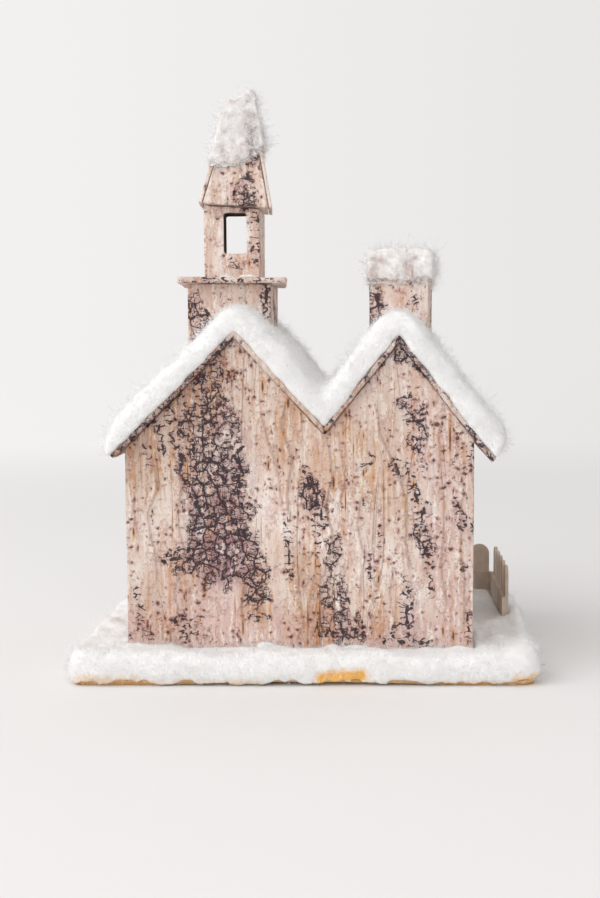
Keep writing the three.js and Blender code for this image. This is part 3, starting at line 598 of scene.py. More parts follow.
def make_card(name, pale, deep, worn, grain, roughness):
    """Die-cut card: a mottled coat over fibres, rubbed back in places."""
    material, tree, shader = new_material(name)
    spot = here(tree)
    fibre = use(tree, CARD_FIBRE, Length=2.0)
    rubbed = cloud(tree, spot, 520, 380, 3.0)
    colour = tint(tree, mottle(tree, spot, 110, 60, 0.35, 0.65, 3.0), pale, deep)
    colour = wash(tree, colour, worn, fade(tree, rubbed, 0.58, 0.70), 0.6)
    colour = wash(tree, colour, worn, fibre["Fleck"], grain)
    feed(tree, shader, Base_Color=colour, Roughness=roughness, Specular_IOR_Level=0.3)
    relief(tree, shader, maths(tree, "ADD", fibre["Height"], rubbed), 0.18)
    return material


def make_cellophane():
    """Amber film, faintly rippled, with the dark room behind it."""
    material, tree, shader = new_material("amber_film")
    ripples = cloud(tree, here(tree), 70, 40, Distortion=1.0)
    colour = tint(tree, fade(tree, ripples, 0.35, 0.65), (0.72, 0.36, 0.05, 1), (0.88, 0.56, 0.14, 1))
    feed(tree, shader, Base_Color=colour, Roughness=0.22, Coat_Weight=0.5, Coat_Roughness=0.1)
    relief(tree, shader, ripples, 1.2)
    return material


BARK_PAPER = make_bark_paper()
COTTON = make_cotton("cotton_wool", under=(0.90, 0.49, 0.12, 1))
THIN_COTTON = make_cotton("thin_cotton_wool")
FIBRE = make_strands()
MICA = make_metal("mica_flakes", (0.96, 0.96, 0.97, 1), (0.88, 0.87, 0.86, 1), mica_tone, 0.9, 0.10, 0.12)
BRASS = make_metal("brass_pin", (0.80, 0.58, 0.26, 1), (0.42, 0.27, 0.10, 1), tarnish, 1.0, 0.28, 0.25)
BOARD = make_board()
TRIM = make_card("trim_card", (0.64, 0.54, 0.45, 1), (0.52, 0.43, 0.35, 1), (0.66, 0.58, 0.50, 1), 0.3, 0.75)
DOOR = make_card("door_card", (0.17, 0.05, 0.035, 1), (0.1, 0.03, 0.024, 1), (0.34, 0.16, 0.11, 1), 0.25, 0.6)
FILM = make_cellophane()


# What is printed where. A mark on a wall is (x, z, x, z, reach, strength), lengths in mm
REAR_CHAR = on_wall([
    (-47, 157, -44, 132, 9, 0.66), (-40, 146, -38, 128, 6, 0.55), (-49, 132, -47, 108, 13, 0.80),
    (-57, 124, -58, 98, 5, 0.66), (-46, 108, -44, 84, 14, 0.92), (-42, 88, -40, 64, 14, 1.00),
    (-50, 76, -47, 58, 9, 1.00), (-33, 118, -32, 94, 4, 0.75), (-28, 74, -27, 60, 5, 0.85),
    (-25, 60, -24, 44, 7, 0.85), (-70, 63, -58, 65, 3.5, 0.85), (-62, 59, -50, 58, 5, 0.85),
    (-71, 128, -70, 116, 3.5, 0.62), (-66, 134, -64, 122, 4, 0.6), (-60, 142, -58, 132, 3.5, 0.6),
    (-78, 118, -76, 108, 3, 0.5), (-53, 152, -50, 140, 4, 0.62), (-63, 118, -62, 106, 3, 0.5),
    (-62, 30, -60, 22, 4, 0.62), (-55, 25, -52, 31, 2.5, 0.6), (-84, 45, -82, 31, 3, 0.48),
    (-82, 26, -77, 22, 3, 0.5), (-27, 33, -19, 31, 2.5, 0.7), (0, 106, 3, 99, 3, 0.80),
    (3, 98, 5, 89, 5, 0.98), (8, 86, 9, 80, 4, 0.8), (5, 84, 7, 70, 2.2, 0.7),
    (7, 72, 8, 40, 1.6, 0.62), (-8, 71, -7, 52, 2.4, 0.72), (-9, 84, -9, 76, 2, 0.5),
    (16, 70, 15, 60, 5, 0.62), (14, 60, 16, 46, 6, 0.56), (13, 46, 20, 30, 8, 0.56),
    (10, 25, 27, 22, 6, 0.62), (20, 24, 28, 27, 4, 0.7), (52, 51, 53, 40, 2.6, 0.78),
    (51, 42, 53, 20, 4, 0.90), (42, 20, 62, 18, 3.5, 0.85), (46, 27, 44, 20, 2.5, 0.7),
    (46, 109, 48, 103, 4, 0.70), (52, 107, 54, 97, 3.5, 0.80), (55, 96, 57, 90, 3.5, 0.7),
    (60, 88, 58, 76, 4, 0.72), (58, 74, 61, 68, 5, 0.85), (61, 68, 63, 58, 3.5, 0.7),
    (64, 52, 64, 43, 1.8, 0.65), (79, 80, 84, 77, 4, 0.80), (77, 60, 80, 57, 2.5, 0.5),
    (50, 164, 59, 160, 5, 1.00), (57, 160, 66, 152, 4, 1.0), (52, 140, 58, 122, 5, 0.66),
    (54, 122, 57, 116, 3, 0.75), (58, 112, 60, 108, 3, 0.55), (83, 118, 84, 109, 3, 0.9),
    (70, 98, 72, 100, 1.6, 0.6), (30, 108, 34, 112, 2.5, 0.5), (38, 78, 39, 66, 2, 0.5),
    (76, 92, 78, 84, 2.5, 0.45), (32, 62, 34, 52, 2.5, 0.55), (82, 34, 83, 20, 2.4, 0.7),
])
REAR_STAIN = on_wall([
    (-46, 88, -38, 66, 13, 0.85), (-48, 68, -44, 58, 10, 0.95), (-36, 72, -33, 58, 7, 0.75),
    (-37, 104, -36, 84, 6, 0.55), (-38, 124, -36, 96, 10, 0.60), (4, 98, 4, 88, 5, 0.5),
    (16, 46, 20, 24, 8, 0.15), (54, 36, 54, 20, 5, 0.3), (-84, 110, -56, 144, 9, 0.30),
    (-60, 148, -46, 164, 9, 0.32), (30, 152, 44, 168, 7, 0.2),
])
REAR_OCHRE = on_wall([
    (-26, 50, -24, 38, 8, 1.0), (1, 58, 5, 20, 9, 0.95), (-6, 60, -4, 24, 8, 0.6),
    (-80, 40, -74, 20, 10, 0.55), (34, 44, 37, 28, 8, 0.6), (24, 120, 40, 96, 16, 0.55),
    (-80, 108, -54, 146, 18, 1.0),
    (-54, 150, -34, 160, 12, 0.5), (-20, 140, 4, 110, 18, 0.65), (28, 150, 40, 128, 12, 0.4),
    (-60, 60, -64, 22, 12, 0.35), (8, 132, 12, 118, 14, 0.6),
])
REAR_BLUSH = on_wall([
    (-60, 26, 5, 20, 16, 0.55), (-86, 24, -70, 20, 14, 0.55), (40, 24, 84, 20, 14, 0.45),
    (64, 120, 76, 40, 14, 0.38), (-46, 60, -40, 50, 18, 0.4), (56, 140, 66, 128, 10, 0.3),
])
# Creases in the rear paper: places down each one, (x, z), then the height of its fold
REAR_CREASES = [
    (((-9, 146), (-12, 128), (-6, 112), (-9, 94), (-7, 76)), 0.75),
    (((-22, 138), (-18, 120), (-13, 104), (-11, 84)), 0.55),
    (((11, 122), (13, 104), (10, 88), (14, 74), (12, 60)), 0.85),
    (((17, 120), (19, 100), (16, 84)), 0.5),
    (((34, 142), (38, 124), (45, 108), (50, 92), (50, 70), (53, 54)), 0.8),
    (((-76, 112), (-74, 98), (-79, 84), (-76, 66), (-74, 44)), 0.55),
    (((-66, 118), (-62, 100), (-64, 80), (-61, 66), (-66, 46), (-63, 24)), 0.5),
    (((-2, 60), (-5, 44), (-1, 30), (-6, 18)), 0.5),
    (((-30, 52), (-33, 38), (-30, 20)), 0.45),
    (((28, 96), (26, 80), (30, 62), (27, 40)), 0.45),
    (((66, 132), (67, 108), (70, 88), (68, 60), (71, 36)), 0.5),
    (((78, 112), (79, 96), (77, 76), (80, 50), (79, 24)), 0.55),
    (((44, 60), (42, 44), (45, 24)), 0.4),
    (((-40, 152), (-36, 140), (-30, 128)), 0.45),
    (((-84, 104), (-86, 86), (-83, 70)), 0.45),
]


def vertical_clusters(seed, count, low, high, size=(6.0, 22.0), top=175.0):
    """Upright clusters of crackle strewn over a wall between two corners, in mm. None goes above top."""
    chance = np.random.default_rng(seed)
    low, high = np.array(low, float), np.array(high, float)
    marks = []
    for _ in range(count):
        foot = low + (high - low) * chance.random(3)
        length = size[0] + (size[1] - size[0]) * chance.random() ** 2
        lean = chance.normal(0, 1.5, 2) * (high[:2] > low[:2])
        head = foot + np.array([*lean, length])
        head[2] = min(head[2], top)
        reach = 2.0 + 4.5 * chance.random() ** 2
        strength = 0.55 + 0.45 * chance.random()
        marks.append((tuple(foot), tuple(head), reach, strength))
    return marks


FRONT_CHAR = vertical_clusters(5, 26, (-86, FRONT_FACE, 12), (82, FRONT_FACE, 140))
FRONT_CHAR += on_wall([(58, 150, 54, 98, 11, 0.9), (-78, 70, -74, 30, 8, 0.9)], FRONT_FACE)
SIDE_CHAR = vertical_clusters(11, 16, (LEFT_FACE, -70, 12), (LEFT_FACE, 28, 92))
SIDE_CHAR += vertical_clusters(12, 16, (RIGHT_FACE, -70, 12), (RIGHT_FACE, 28, 96))
SIDE_CHAR += [
    ((LEFT_FACE, -34, 96), (LEFT_FACE, -30, 52), 9, 0.85), ((RIGHT_FACE, 8, 88), (RIGHT_FACE, 4, 34), 7, 0.8),
]
# Marks above the roof: the tower, ledge, belfry, cap and chimney
TOP_CHAR = [
    ((-59, -46, 186), (-52, -46, 177), 8, 0.95), ((-21, -46, 199), (-20, -46, 176), 3.2, 0.95),
    ((-60, -54, 201), (-12, -50, 201), 2.2, 0.85), ((-46, -54, 202), (-22, -54, 202), 3.4, 1.0),
    ((-27, -39, 236), (-27, -39, 217), 2.8, 0.85), ((-28, -39, 224), (-27, -39, 210), 2.2, 0.6),
    ((-39, -39, 212), (-35, -39, 207), 2.2, 0.8), ((-29, -36, 290), (-28, -41, 262), 4.7, 0.85),
    ((-29, -43, 262), (-32, -42, 240), 5.0, 0.78), ((-36, -43, 246), (-28, -43, 243), 3.5, 0.9),
    ((32, -40, 198), (36, -40, 176), 6.5, 1.0), ((37, -40, 192), (41, -40, 188), 3.0, 0.6),
    ((56, -40, 194), (57, -40, 190), 2.4, 0.7),
    ((-64, -32, 190), (-64, -10, 176), 6, 0.8), ((-20, -30, 192), (-20, -8, 176), 5, 0.75),
    ((-50, -2, 196), (-46, -2, 178), 7, 0.85), ((-30, -2, 190), (-26, -2, 180), 4, 0.7),
    ((-57, -20, 232), (-57, -22, 212), 4, 0.7), ((-28, -18, 236), (-28, -24, 214), 3.5, 0.7),
    ((-40, -10, 216), (-34, -10, 208), 4, 0.8),
    ((-48, -10, 256), (-44, -8, 242), 5, 0.8), ((-58, -26, 258), (-58, -24, 244), 4, 0.8),
    ((64, -20, 196), (64, -26, 182), 4, 0.8), ((48, -14, 198), (52, -14, 182), 6, 0.9),
    ((32, -24, 192), (32, -20, 182), 4, 0.7),
]
# Marks on the cut edges of the roof cards, front and back
ROOF_CHAR = []
for face in (REAR_FACE - GABLE_OVERHANG, FRONT_FACE + GABLE_OVERHANG):
    ROOF_CHAR += on_wall([
        (48, 171, 66, 153, 4.8, 0.75), (83, 128, 94, 116, 4.8, 0.75), (33, 153, 40, 162, 4.7, 0.38),
        (12, 130, 16, 134, 2.5, 0.5), (-100, 112, -38, 171, 4.8, 0.78), (8, 127, 13, 127, 2.5, 0.6),
        (68, 148, 72, 143, 2.0, 0.6),
    ], face)
CHAR = REAR_CHAR + FRONT_CHAR + SIDE_CHAR + TOP_CHAR + ROOF_CHAR
# Marks that reach less far than this, in mm, are drawn as a spine with thorns, a little stronger
THIN_MARK = 4.6
BROAD_MARKS = [mark for mark in CHAR if mark[2] >= THIN_MARK]
THIN_MARKS = [(*mark[:3], min(1.0, mark[3] + 0.28)) for mark in CHAR if mark[2] < THIN_MARK]
OCHRE = REAR_OCHRE + [
    ((-60, FRONT_FACE, 90), (-50, FRONT_FACE, 40), 16, 0.6),
    ((40, FRONT_FACE, 70), (52, FRONT_FACE, 30), 14, 0.6),
    ((LEFT_FACE, -10, 70), (LEFT_FACE, 0, 20), 14, 0.6),
    ((RIGHT_FACE, -40, 80), (RIGHT_FACE, -50, 30), 14, 0.6),
    ((-50, -46, 196), (-38, -46, 186), 8, 0.2), ((-48, -43, 258), (-44, -43, 246), 6, 0.25),
]
BLUSH = REAR_BLUSH + [
    ((-80, FRONT_FACE, 20), (80, FRONT_FACE, 20), 14, 0.5),
    ((LEFT_FACE, -70, 20), (LEFT_FACE, 30, 20), 14, 0.5),
    ((RIGHT_FACE, -70, 20), (RIGHT_FACE, 30, 20), 14, 0.5), ((-60, -46, 196), (-45, -46, 180), 10, 0.25),
    ((50, -40, 190), (56, -40, 178), 8, 0.5), ((-45, -43, 244), (-36, -43, 250), 8, 0.2),
]


def folds(points, creases):
    """How high the creases down the rear wall fold up each point, in mm, and a mask of painted shade along
    each crease, just past the steep side of its fold.
    """
    x, z = points[:, 0] / MM, points[:, 2] / MM
    rise, line = np.zeros(len(points)), np.zeros(len(points))
    for places, height in creases:
        down = np.array(places)[::-1]
        middle = np.interp(z, down[:, 1], down[:, 0])
        away = x - (middle + 0.9 * lumps(points, 11, 7) + 0.25 * lumps(points, 3, 8))
        fading = ramp(z, down[0, 1] - 1, down[0, 1] + 7) * ramp(z, down[-1, 1] + 1, down[-1, 1] - 7)
        lip = np.where(away < 0, np.exp(away / 2.6), np.exp(-((away / 0.9) ** 2)))
        rise += 1.35 * height * lip * fading
        # painted shade: a thin line just past the steep side of each fold
        line = np.maximum(line, np.exp(-(((away - 0.8) / 0.45) ** 2)) * fading)
    return rise, line


def paper(name, nodes, fineness, ruffle=0.3, hollow=None, creases=(), swell=0.0):
    """Card wrapped in creased bark paper, in place of plain card nodes. hollow is the middle of a tube, in
    mm, whose inside is bare card."""
    piece = skin(name, nodes, fineness)
    points, out = read(piece, "co"), read(piece, "normal")
    rise = 0.40 * lumps(points, (5, 5, 34), 1) + 0.22 * lumps(points, (2.4, 2.4, 15), 2)
    rise += 0.5 * lumps(points, 31, 3)
    rise += 0.10 * lumps(points, (1.4, 1.4, 5), 4)
    rise = rise * ruffle + swell
    # painted shade: thin lines along small creases that the paper has only in colour, and along the rear
    # wall's folds
    line = ramp(np.abs(lumps(points, (7, 7, 46), 5)), 0.035, 0.0) * ramp(lumps(points, 23, 6), 0.0, 0.4)
    if creases:
        near_rear = ramp(points[:, 1], (REAR_FACE + 1.2) * MM, (REAR_FACE + 0.4) * MM)
        fold_rise, fold_shade_line = folds(points, creases)
        rise += fold_rise * near_rear
        line = np.maximum(line * 0.5, fold_shade_line * near_rear)
    bare = np.zeros(len(points))
    if hollow is not None:
        outward = (points[:, :2] - np.array(hollow) * MM) * out[:, :2]
        bare = ramp(outward.sum(axis=1) * 1000, -1.0, -4.0)
        rise *= 1.0 - bare
    store(piece, "char", strength_at(points, BROAD_MARKS))
    store(piece, "thorn", strength_at(points, THIN_MARKS, 1.5))
    store(piece, "stain", strength_at(points, REAR_STAIN))
    store(piece, "ochre", strength_at(points, OCHRE))
    store(piece, "blush", strength_at(points, BLUSH))
    # the crease mask is painted shade along creases and folds
    store(piece, "crease_shade", line)
    store(piece, "bare", bare)
    move_to(piece, points + out * rise[:, None] * MM)
    return finish(piece, BARK_PAPER, nodes)


papers = [
    paper("rear_wall_paper", ["rear_wall"], 0.8, 0.34, creases=REAR_CREASES),
    paper("front_wall_paper", ["front_wall"], 1.15, 0.30),
    paper("left_wall_paper", ["left_wall"], 1.15, 0.30),
    paper("right_wall_paper", ["right_wall"], 1.15, 0.30),
]
paper("left_roof_paper", ["left_outer_roof", "left_inner_roof"], 1.25, 0.45, swell=0.25)
paper("right_roof_paper", ["right_inner_roof", "right_outer_roof"], 1.25, 0.45, swell=0.25)


def tube_middle(*nodes):
    corners = np.array([corner[:2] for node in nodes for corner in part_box(node)])
    return (corners.min(0) + corners.max(0)) / 2.0 / MM


def tube_paper(kind, fineness, ruffle):
    nodes = [f"{kind}_{side}_wall" for side in ("rear", "front", "left", "right")]
    return paper(f"{kind}_paper", nodes, fineness, ruffle, hollow=tube_middle(*nodes))


tube_paper("tower", 0.9, 0.3)
tube_paper("belfry", 0.7, 0.28)
tube_paper("chimney", 0.85, 0.3)
paper("ledge_paper", ["tower_ledge"], 0.8, 0.5)
for side in ("left", "right", "rear", "front"):
    paper(f"cap_{side}_paper", [f"cap_{side}_panel"], 0.7, 0.22)
paper("cap_lid_paper", ["cap_lid"], 0.5, 0.2)
paper("cap_seat_card", ["cap_seat"], 0.5, 0.2)
paper("chimney_lid_paper", ["chimney_lid"], 0.6, 0.2)


# Cotton wool
# Heaps of it outside the right fence, in mm: middle in x and y, spread in x and y, height
HEAPS = (((110, -82), (8, 10), 3.0), ((115, 2), (5, 16), 3.5), ((113, 44), (5, 26), 2.5))


def banked_up(points):
    """How far the ground's cotton is pushed up, in mm: against the house walls, and in the heaps."""
    x, y, z = (points / MM).T
    beyond = np.maximum(np.maximum(LEFT_FACE - x, x - RIGHT_FACE), np.maximum(REAR_FACE - y, y - FRONT_FACE))
    rise = (0.6 + 2.0 * lumps(points, 9, 27)) * np.exp(-((beyond / 3.5) ** 2))
    rise += sum(
        height * np.exp(-(((x - middle[0]) / spread[0]) ** 2) - ((y - middle[1]) / spread[1]) ** 2)
        for middle, spread, height in HEAPS
    )
    rise += 1.5 * lumps(points, (7, 9, 9), 45) * ramp(beyond, 3, 9) * ramp(y, REAR_FACE, REAR_FACE + 10)
    return rise * (z < BOARD_TOP + 16)


# Where the cotton is teased out thin, so that the print or the board's edge shows through it
THIN_PLACES = [
    ((-29, -36, 288), (-28, -42, 262), 5, 1.0), ((-44, -40, 268), (-41, -42, 256), 5, 0.45),
    ((-36, -40, 285), (-36, -42, 260), 4, 0.35), ((33, -40, 206), (37, -40, 200), 6, 0.9),
    ((52, -40, 209), (57, -40, 201), 6, 0.85), ((35, -40, 213), (39, -40, 212), 3, 0.9),
    ((54, -40, 214), (56, -40, 213), 3, 0.9), ((40, -40, 202), (52, -40, 200), 4, 0.7),
    ((-114, -90, 1), (-84, -90, 1), 4, 0.7), ((-84, -90, 0), (-22, -90, 0), 3.2, 0.5),
    ((10, -90, 3), (28, -90, 5), 4.0, 1.35),
    ((34, -90, 0), (106, -90, 0), 2.8, 0.5), ((108, -90, 2), (116, -84, 2), 4.5, 0.9),
]


def above_rim(points, middle):
    """How high each point is above the pad's lower rim on its side of the middle, in mm."""
    away = points[:, :2] / MM - middle
    sides = 60
    side = ((np.arctan2(away[:, 1], away[:, 0]) / (2 * np.pi) * sides).astype(int)) % sides
    lowest = np.full(sides, np.inf)
    np.minimum.at(lowest, side, points[:, 2] / MM)
    return points[:, 2] / MM - lowest[side]


def pressed_left(points):
    """Heights of the cap's cotton, pressed on its left to a slope that climbs to the right."""
    x, z = points[:, 0], points[:, 2]
    slope = (289.5 + 0.85 * (x / MM + 43.6)) * MM
    return np.where(x < -31 * MM, np.minimum(z, slope + 0.3 * (z - slope)), z)


def cotton(name, nodes, fineness, lump, hollows=0.0, material=COTTON, smoothing=3, swell=0.35, pressed=None):
    """A pad of teased cotton in place of plain snow nodes. With hollows, in mm, it is a veil, torn below."""
    piece = skin(name, nodes, fineness)
    apply(piece, "SMOOTH", factor=0.5, iterations=smoothing)
    points, out = read(piece, "co"), read(piece, "normal")
    thin = strength_at(points, THIN_PLACES, 1.5)
    lumpy = 0.9 * lumps(points, 13, 21) + 0.65 * lumps(points, 5.5, 22) + 0.42 * lumps(points, 2.6, 23)
    rise = swell + lump * lumpy + 0.3 * ramp(lumps(points, 9, 25), 0.1, 0.7)
    if hollows:
        rise -= hollows * ramp(lumps(points, (5, 5, 8), 24) + 0.5 * lumps(points, 2.4, 26), 0.05, 0.6)
        store(piece, "char", strength_at(points, TOP_CHAR))
        middle = points[:, :2].mean(0) / MM
        outward = unit(points[:, :2] / MM - middle)
        facing_out = ramp((outward * out[:, :2]).sum(axis=1), 0.0, 0.4)
        rim = np.exp(-above_rim(points, middle) / 4.0) * facing_out
        torn = ramp(lumps(points, 3.6, 28) + 0.7 * lumps(points, 1.7, 29) + 2.2 * rim, 1.0, 1.5)
        points[:, :2] -= outward * (2.6 * torn * rim)[:, None] * MM
        points[:, 2] += 1.8 * MM * torn * rim
        thin = np.maximum(thin, 0.38 + 0.34 * lumps(points, 6, 30) + 0.45 * rim)
    store(piece, "thin", np.clip(thin, 0.0, 1.5))
    points = points + out * rise[:, None] * MM
    if pressed:
        points[:, 2] = pressed(points)
    points[:, 2] += banked_up(points) * ramp(out[:, 2], 0.2, 0.7) * MM
    hem = ramp(lumps(points, 8, 46) + 0.6 * lumps(points, 3.5, 47), -0.35, 0.6)
    points[:, 2] += 2.0 * MM * (hem * ramp(points[:, 2], 4 * MM, 1 * MM))
    points[:, 2] = np.maximum(points[:, 2], 0.1 * MM)
    move_to(piece, points)
    if hollows:
        apply(piece, "SMOOTH", factor=0.5, iterations=2)
    return finish(piece, material, nodes)


ground = cotton("ground_cotton", ["ground_snow"], 1.4, 0.75, swell=0.2)
roof_snow = cotton("roof_cotton", ["left_roof_snow", "right_roof_snow"], 1.35, 0.85, smoothing=5, swell=0.5)
cap_snow = cotton("cap_cotton", ["cap_snow"], 0.65, 0.75, 0.6, THIN_COTTON, 2, 0.1, pressed_left)
chimney_snow = cotton("chimney_cotton", ["chimney_snow"], 0.68, 0.85, 0.6, THIN_COTTON, 2, 0.1)


def one_strand(sides=3, lengths=2):
    """A straight fibre a metre long along X: the pattern that every fibre is bent from."""
    bpy.ops.object.select_all(action="DESELECT")
    bpy.ops.mesh.primitive_cylinder_add(
        vertices=sides, radius=1.0, depth=1.0, end_fill_type="NGON", location=(0.5, 0, 0),
        rotation=(0, math.pi / 2, 0),
    )
    strand = bpy.context.object
    bpy.ops.object.transform_apply(location=True, rotation=True, scale=True)
    bpy.ops.object.mode_set(mode="EDIT")
    for cut in range(1, lengths):
        bpy.ops.mesh.select_all(action="SELECT")
        bpy.ops.mesh.bisect(plane_co=(cut / lengths, 0, 0), plane_no=(1, 0, 0))
    bpy.ops.object.mode_set(mode="OBJECT")
    return taken_apart(strand)


STRAND_POINTS, STRAND_FACES = one_strand()


def surface_picks(pieces, count, chance, wanted):
    """Random places on pieces' faces, with their normals, picked by area times how much each is wanted."""
    centres = np.vstack([read(piece, "center", of="polygons") for piece in pieces])
    normals = np.vstack([read(piece, "normal", of="polygons") for piece in pieces])
    areas = np.concatenate([read(piece, "area", 1, of="polygons") for piece in pieces])
    share = areas * wanted(centres / MM, normals)
    picks = chance.choice(len(areas), count, p=share / share.sum())
    spread = np.sqrt(areas[picks])[:, None] * (chance.random((count, 3)) - 0.5)
    spread -= normals[picks] * np.sum(spread * normals[picks], axis=1)[:, None]
    return centres[picks] + spread, normals[picks]


def mesh_piece(name, points, faces, material):
    mesh = bpy.data.meshes.new(name)
    mesh.from_pydata(points, [], faces)
    piece = bpy.data.objects.new(name, mesh)
    bpy.context.scene.collection.objects.link(piece)
    for face in mesh.polygons:
        face.use_smooth = True
    return finish(piece, material)


def fibres(name, pieces, count, seed, wanted, length=(2.0, 6.0), lift=0.8, thickness=0.05):
    """Loose fibres lying on cotton and curling off it, each bent its own way from the one strand. length and
    thickness are in mm, and lift says how far they stand up."""
    chance = np.random.default_rng(seed)
    start, up = surface_picks(pieces, count, chance, wanted)
    side = unit(np.cross(up, unit(chance.normal(size=(count, 3)))))
    reach = length[0] + (length[1] - length[0]) * chance.random(count) ** 1.6
    rise = lift * np.abs(chance.normal(size=count)) * reach / length[1] * 1.6
    curl = chance.normal(0, 0.55, count) * reach
    droop = chance.normal(0.15, 0.3, count) * reach
    across = unit(np.cross(up, side))
    t = STRAND_POINTS[:, 0]
    body = np.sin(np.pi * np.clip(t, 0, 1) ** 0.8)
    height = np.outer(rise, body) * 2.0 - np.outer(droop, t ** 3) * 0.35 - 0.15
    line = start[:, None, :] + along(side, np.outer(reach, t)) * MM
    line = line + along(across, np.outer(curl, t ** 2)) * MM + along(up, height) * MM
    ends = np.where((t < 0.01) | (t > 0.99), 0.25, 1.0)
    girth = np.outer(thickness * (0.6 + 0.8 * chance.random(count)), ends)
    ring = (along(across, STRAND_POINTS[:, 1] * girth) + along(up, STRAND_POINTS[:, 2] * girth)) * MM
    points = (line + ring).reshape(-1, 3)
    points[:, 2] = np.maximum(points[:, 2], 0.1 * MM)
    return mesh_piece(name, points, repeated(STRAND_FACES, len(t), count), FIBRE)


def exposed(centres, normals):
    """Wanted on tops and rims, not on what lies against the roof or the table."""
    return ramp(normals[:, 2], -0.75, -0.15)


def near_back(centres, normals):
    """Thicker on the rims along the back of the house and its board, but not over the board's bare edge."""
    x, y, z = centres.T
    bare = ramp(x, 4, 10) * ramp(x, 34, 28) * ramp(z, 9, 7)
    at_back = exposed(centres, normals) * ramp(y, -66.0, REAR_FACE) * ramp(normals[:, 1], 0.3, -0.3)
    return at_back * (1 - bare)


def near_rim(centres, normals):
    """Thicker round the lower rim of a cap of cotton."""
    return 0.25 + np.exp(-above_rim(centres * MM, centres[:, :2].mean(0)) / 3.5)


def left_exposed(centres, normals):
    return exposed(centres, normals) * (centres[:, 0] < VALLEY)


def right_exposed(centres, normals):
    return exposed(centres, normals) * (centres[:, 0] >= VALLEY)


def anywhere(centres, normals):
    return np.ones(len(centres))


def low_down(centres, normals):
    """Thicker towards the foot of the walls."""
    return 0.25 + np.exp(-(centres[:, 2] - BOARD_TOP) / 30)


for layer, seed in ((1, 30), (2, 40)):
    fibres(f"left_roof_fluff_{layer}", [roof_snow], 6200, seed + 1, left_exposed)
    fibres(f"right_roof_fluff_{layer}", [roof_snow], 5400, seed + 2, right_exposed)
    fibres(f"ground_fluff_{layer}", [ground], 7200, seed + 3, exposed)
fibres("rim_fluff", [ground, roof_snow], 9000, 36, near_back, length=(1.2, 3.8), lift=0.9)
fibres("rim_down", [ground, roof_snow], 7600, 66, near_back, length=(0.8, 2.4), lift=1.3)
fibres("cap_fluff", [cap_snow], 5600, 34, exposed, length=(1.6, 5.5), lift=1.15)
fibres("chimney_fluff", [chimney_snow], 4600, 35, exposed, length=(1.6, 5.0), lift=1.15)
fibres("cap_rim_fluff", [cap_snow], 1800, 38, near_rim, length=(2.0, 6.0), lift=0.7)
fibres("chimney_rim_fluff", [chimney_snow], 1800, 39, near_rim, length=(2.0, 6.0), lift=0.7)


def one_tuft():
    """A pulled tuft of cotton about a metre across, flat below: the pattern for the small ones."""
    bpy.ops.object.select_all(action="DESELECT")
    bpy.ops.mesh.primitive_ico_sphere_add(subdivisions=4, radius=0.5, location=(0, 0, 0))
    points, faces = taken_apart(bpy.context.object)
    points += unit(points) * (0.10 * lumps(points, 330, 51) + 0.06 * lumps(points, 150, 52))[:, None]
    points[:, 2] = np.maximum(points[:, 2], -0.22)
    return points, faces


TUFT_POINTS, TUFT_FACES = one_tuft()
# Middle, size and turn of each tuft, in mm and degrees
TUFTS = {
    "tower_wisp_tuft": ((-35.0, -45.2, 186.0), (10, 2.4, 9), 16),
    "tower_right_tuft": ((-13.5, -30.0, 171.0), (9, 13, 7), 12),
    "belfry_foot_left_tuft": ((-42.0, -38.0, 203.9), (7, 3.0, 1.8), 4),
    "belfry_foot_tuft": ((-31.0, -38.4, 204.0), (9, 3.4, 2.0), -8),
    "rear_wall_tuft": ((-19.0, -77.3, 17.6), (10, 3.8, 3.6), 3),
    "rear_wall_left_tuft": ((-70.0, -77.2, 16.8), (16, 3.2, 2.8), -4),
    "rear_wall_right_tuft": ((26.0, -77.2, 16.6), (13, 3.2, 2.6), 5),
    "fence_foot_tuft": ((113.5, 30.0, 12.0), (8, 12, 6), 10),
    "fence_middle_tuft": ((115.0, 52.0, 11.5), (6, 22, 5), -6),
    "yard_tuft": ((104.0, 2.0, 11.5), (11, 16, 5), 5),
    "chimney_foot_tuft": ((64.0, -30.0, 170.0), (9, 18, 8), -30),
}


def tuft(name, middle, size, turn):
    x, y, z = TUFT_POINTS.T
    cosine, sine = math.cos(math.radians(turn)), math.sin(math.radians(turn))
    spun = np.column_stack([x * cosine - z * sine, y, x * sine + z * cosine])
    return mesh_piece(name, (spun * np.array(size) + np.array(middle)) * MM, TUFT_FACES, COTTON)


tufts = [tuft(name, *where) for name, where in TUFTS.items()]
fibres("tuft_fluff", tufts, 3600, 37, anywhere, length=(1.5, 5.0), lift=1.0)


# Mica glitter
def one_flake():
    """A thin six-sided flake, a metre across, pointed above and below: eight corners, twelve faces."""
    peak = 0.12
    bpy.ops.object.select_all(action="DESELECT")
    bpy.ops.mesh.primitive_cone_add(
        vertices=6, radius1=0.5, radius2=0.0, depth=peak, end_fill_type="TRIFAN", location=(0, 0, peak / 2)
    )
    flake = bpy.context.object
    bpy.ops.object.transform_apply(location=True, rotation=True, scale=True)
    points, faces = taken_apart(flake)
    below = (np.hypot(points[:, 0], points[:, 1]) < 0.01) & (points[:, 2] < peak / 2)
    points[below, 2] = -peak
    return points, faces


FLAKE_POINTS, FLAKE_FACES = one_flake()


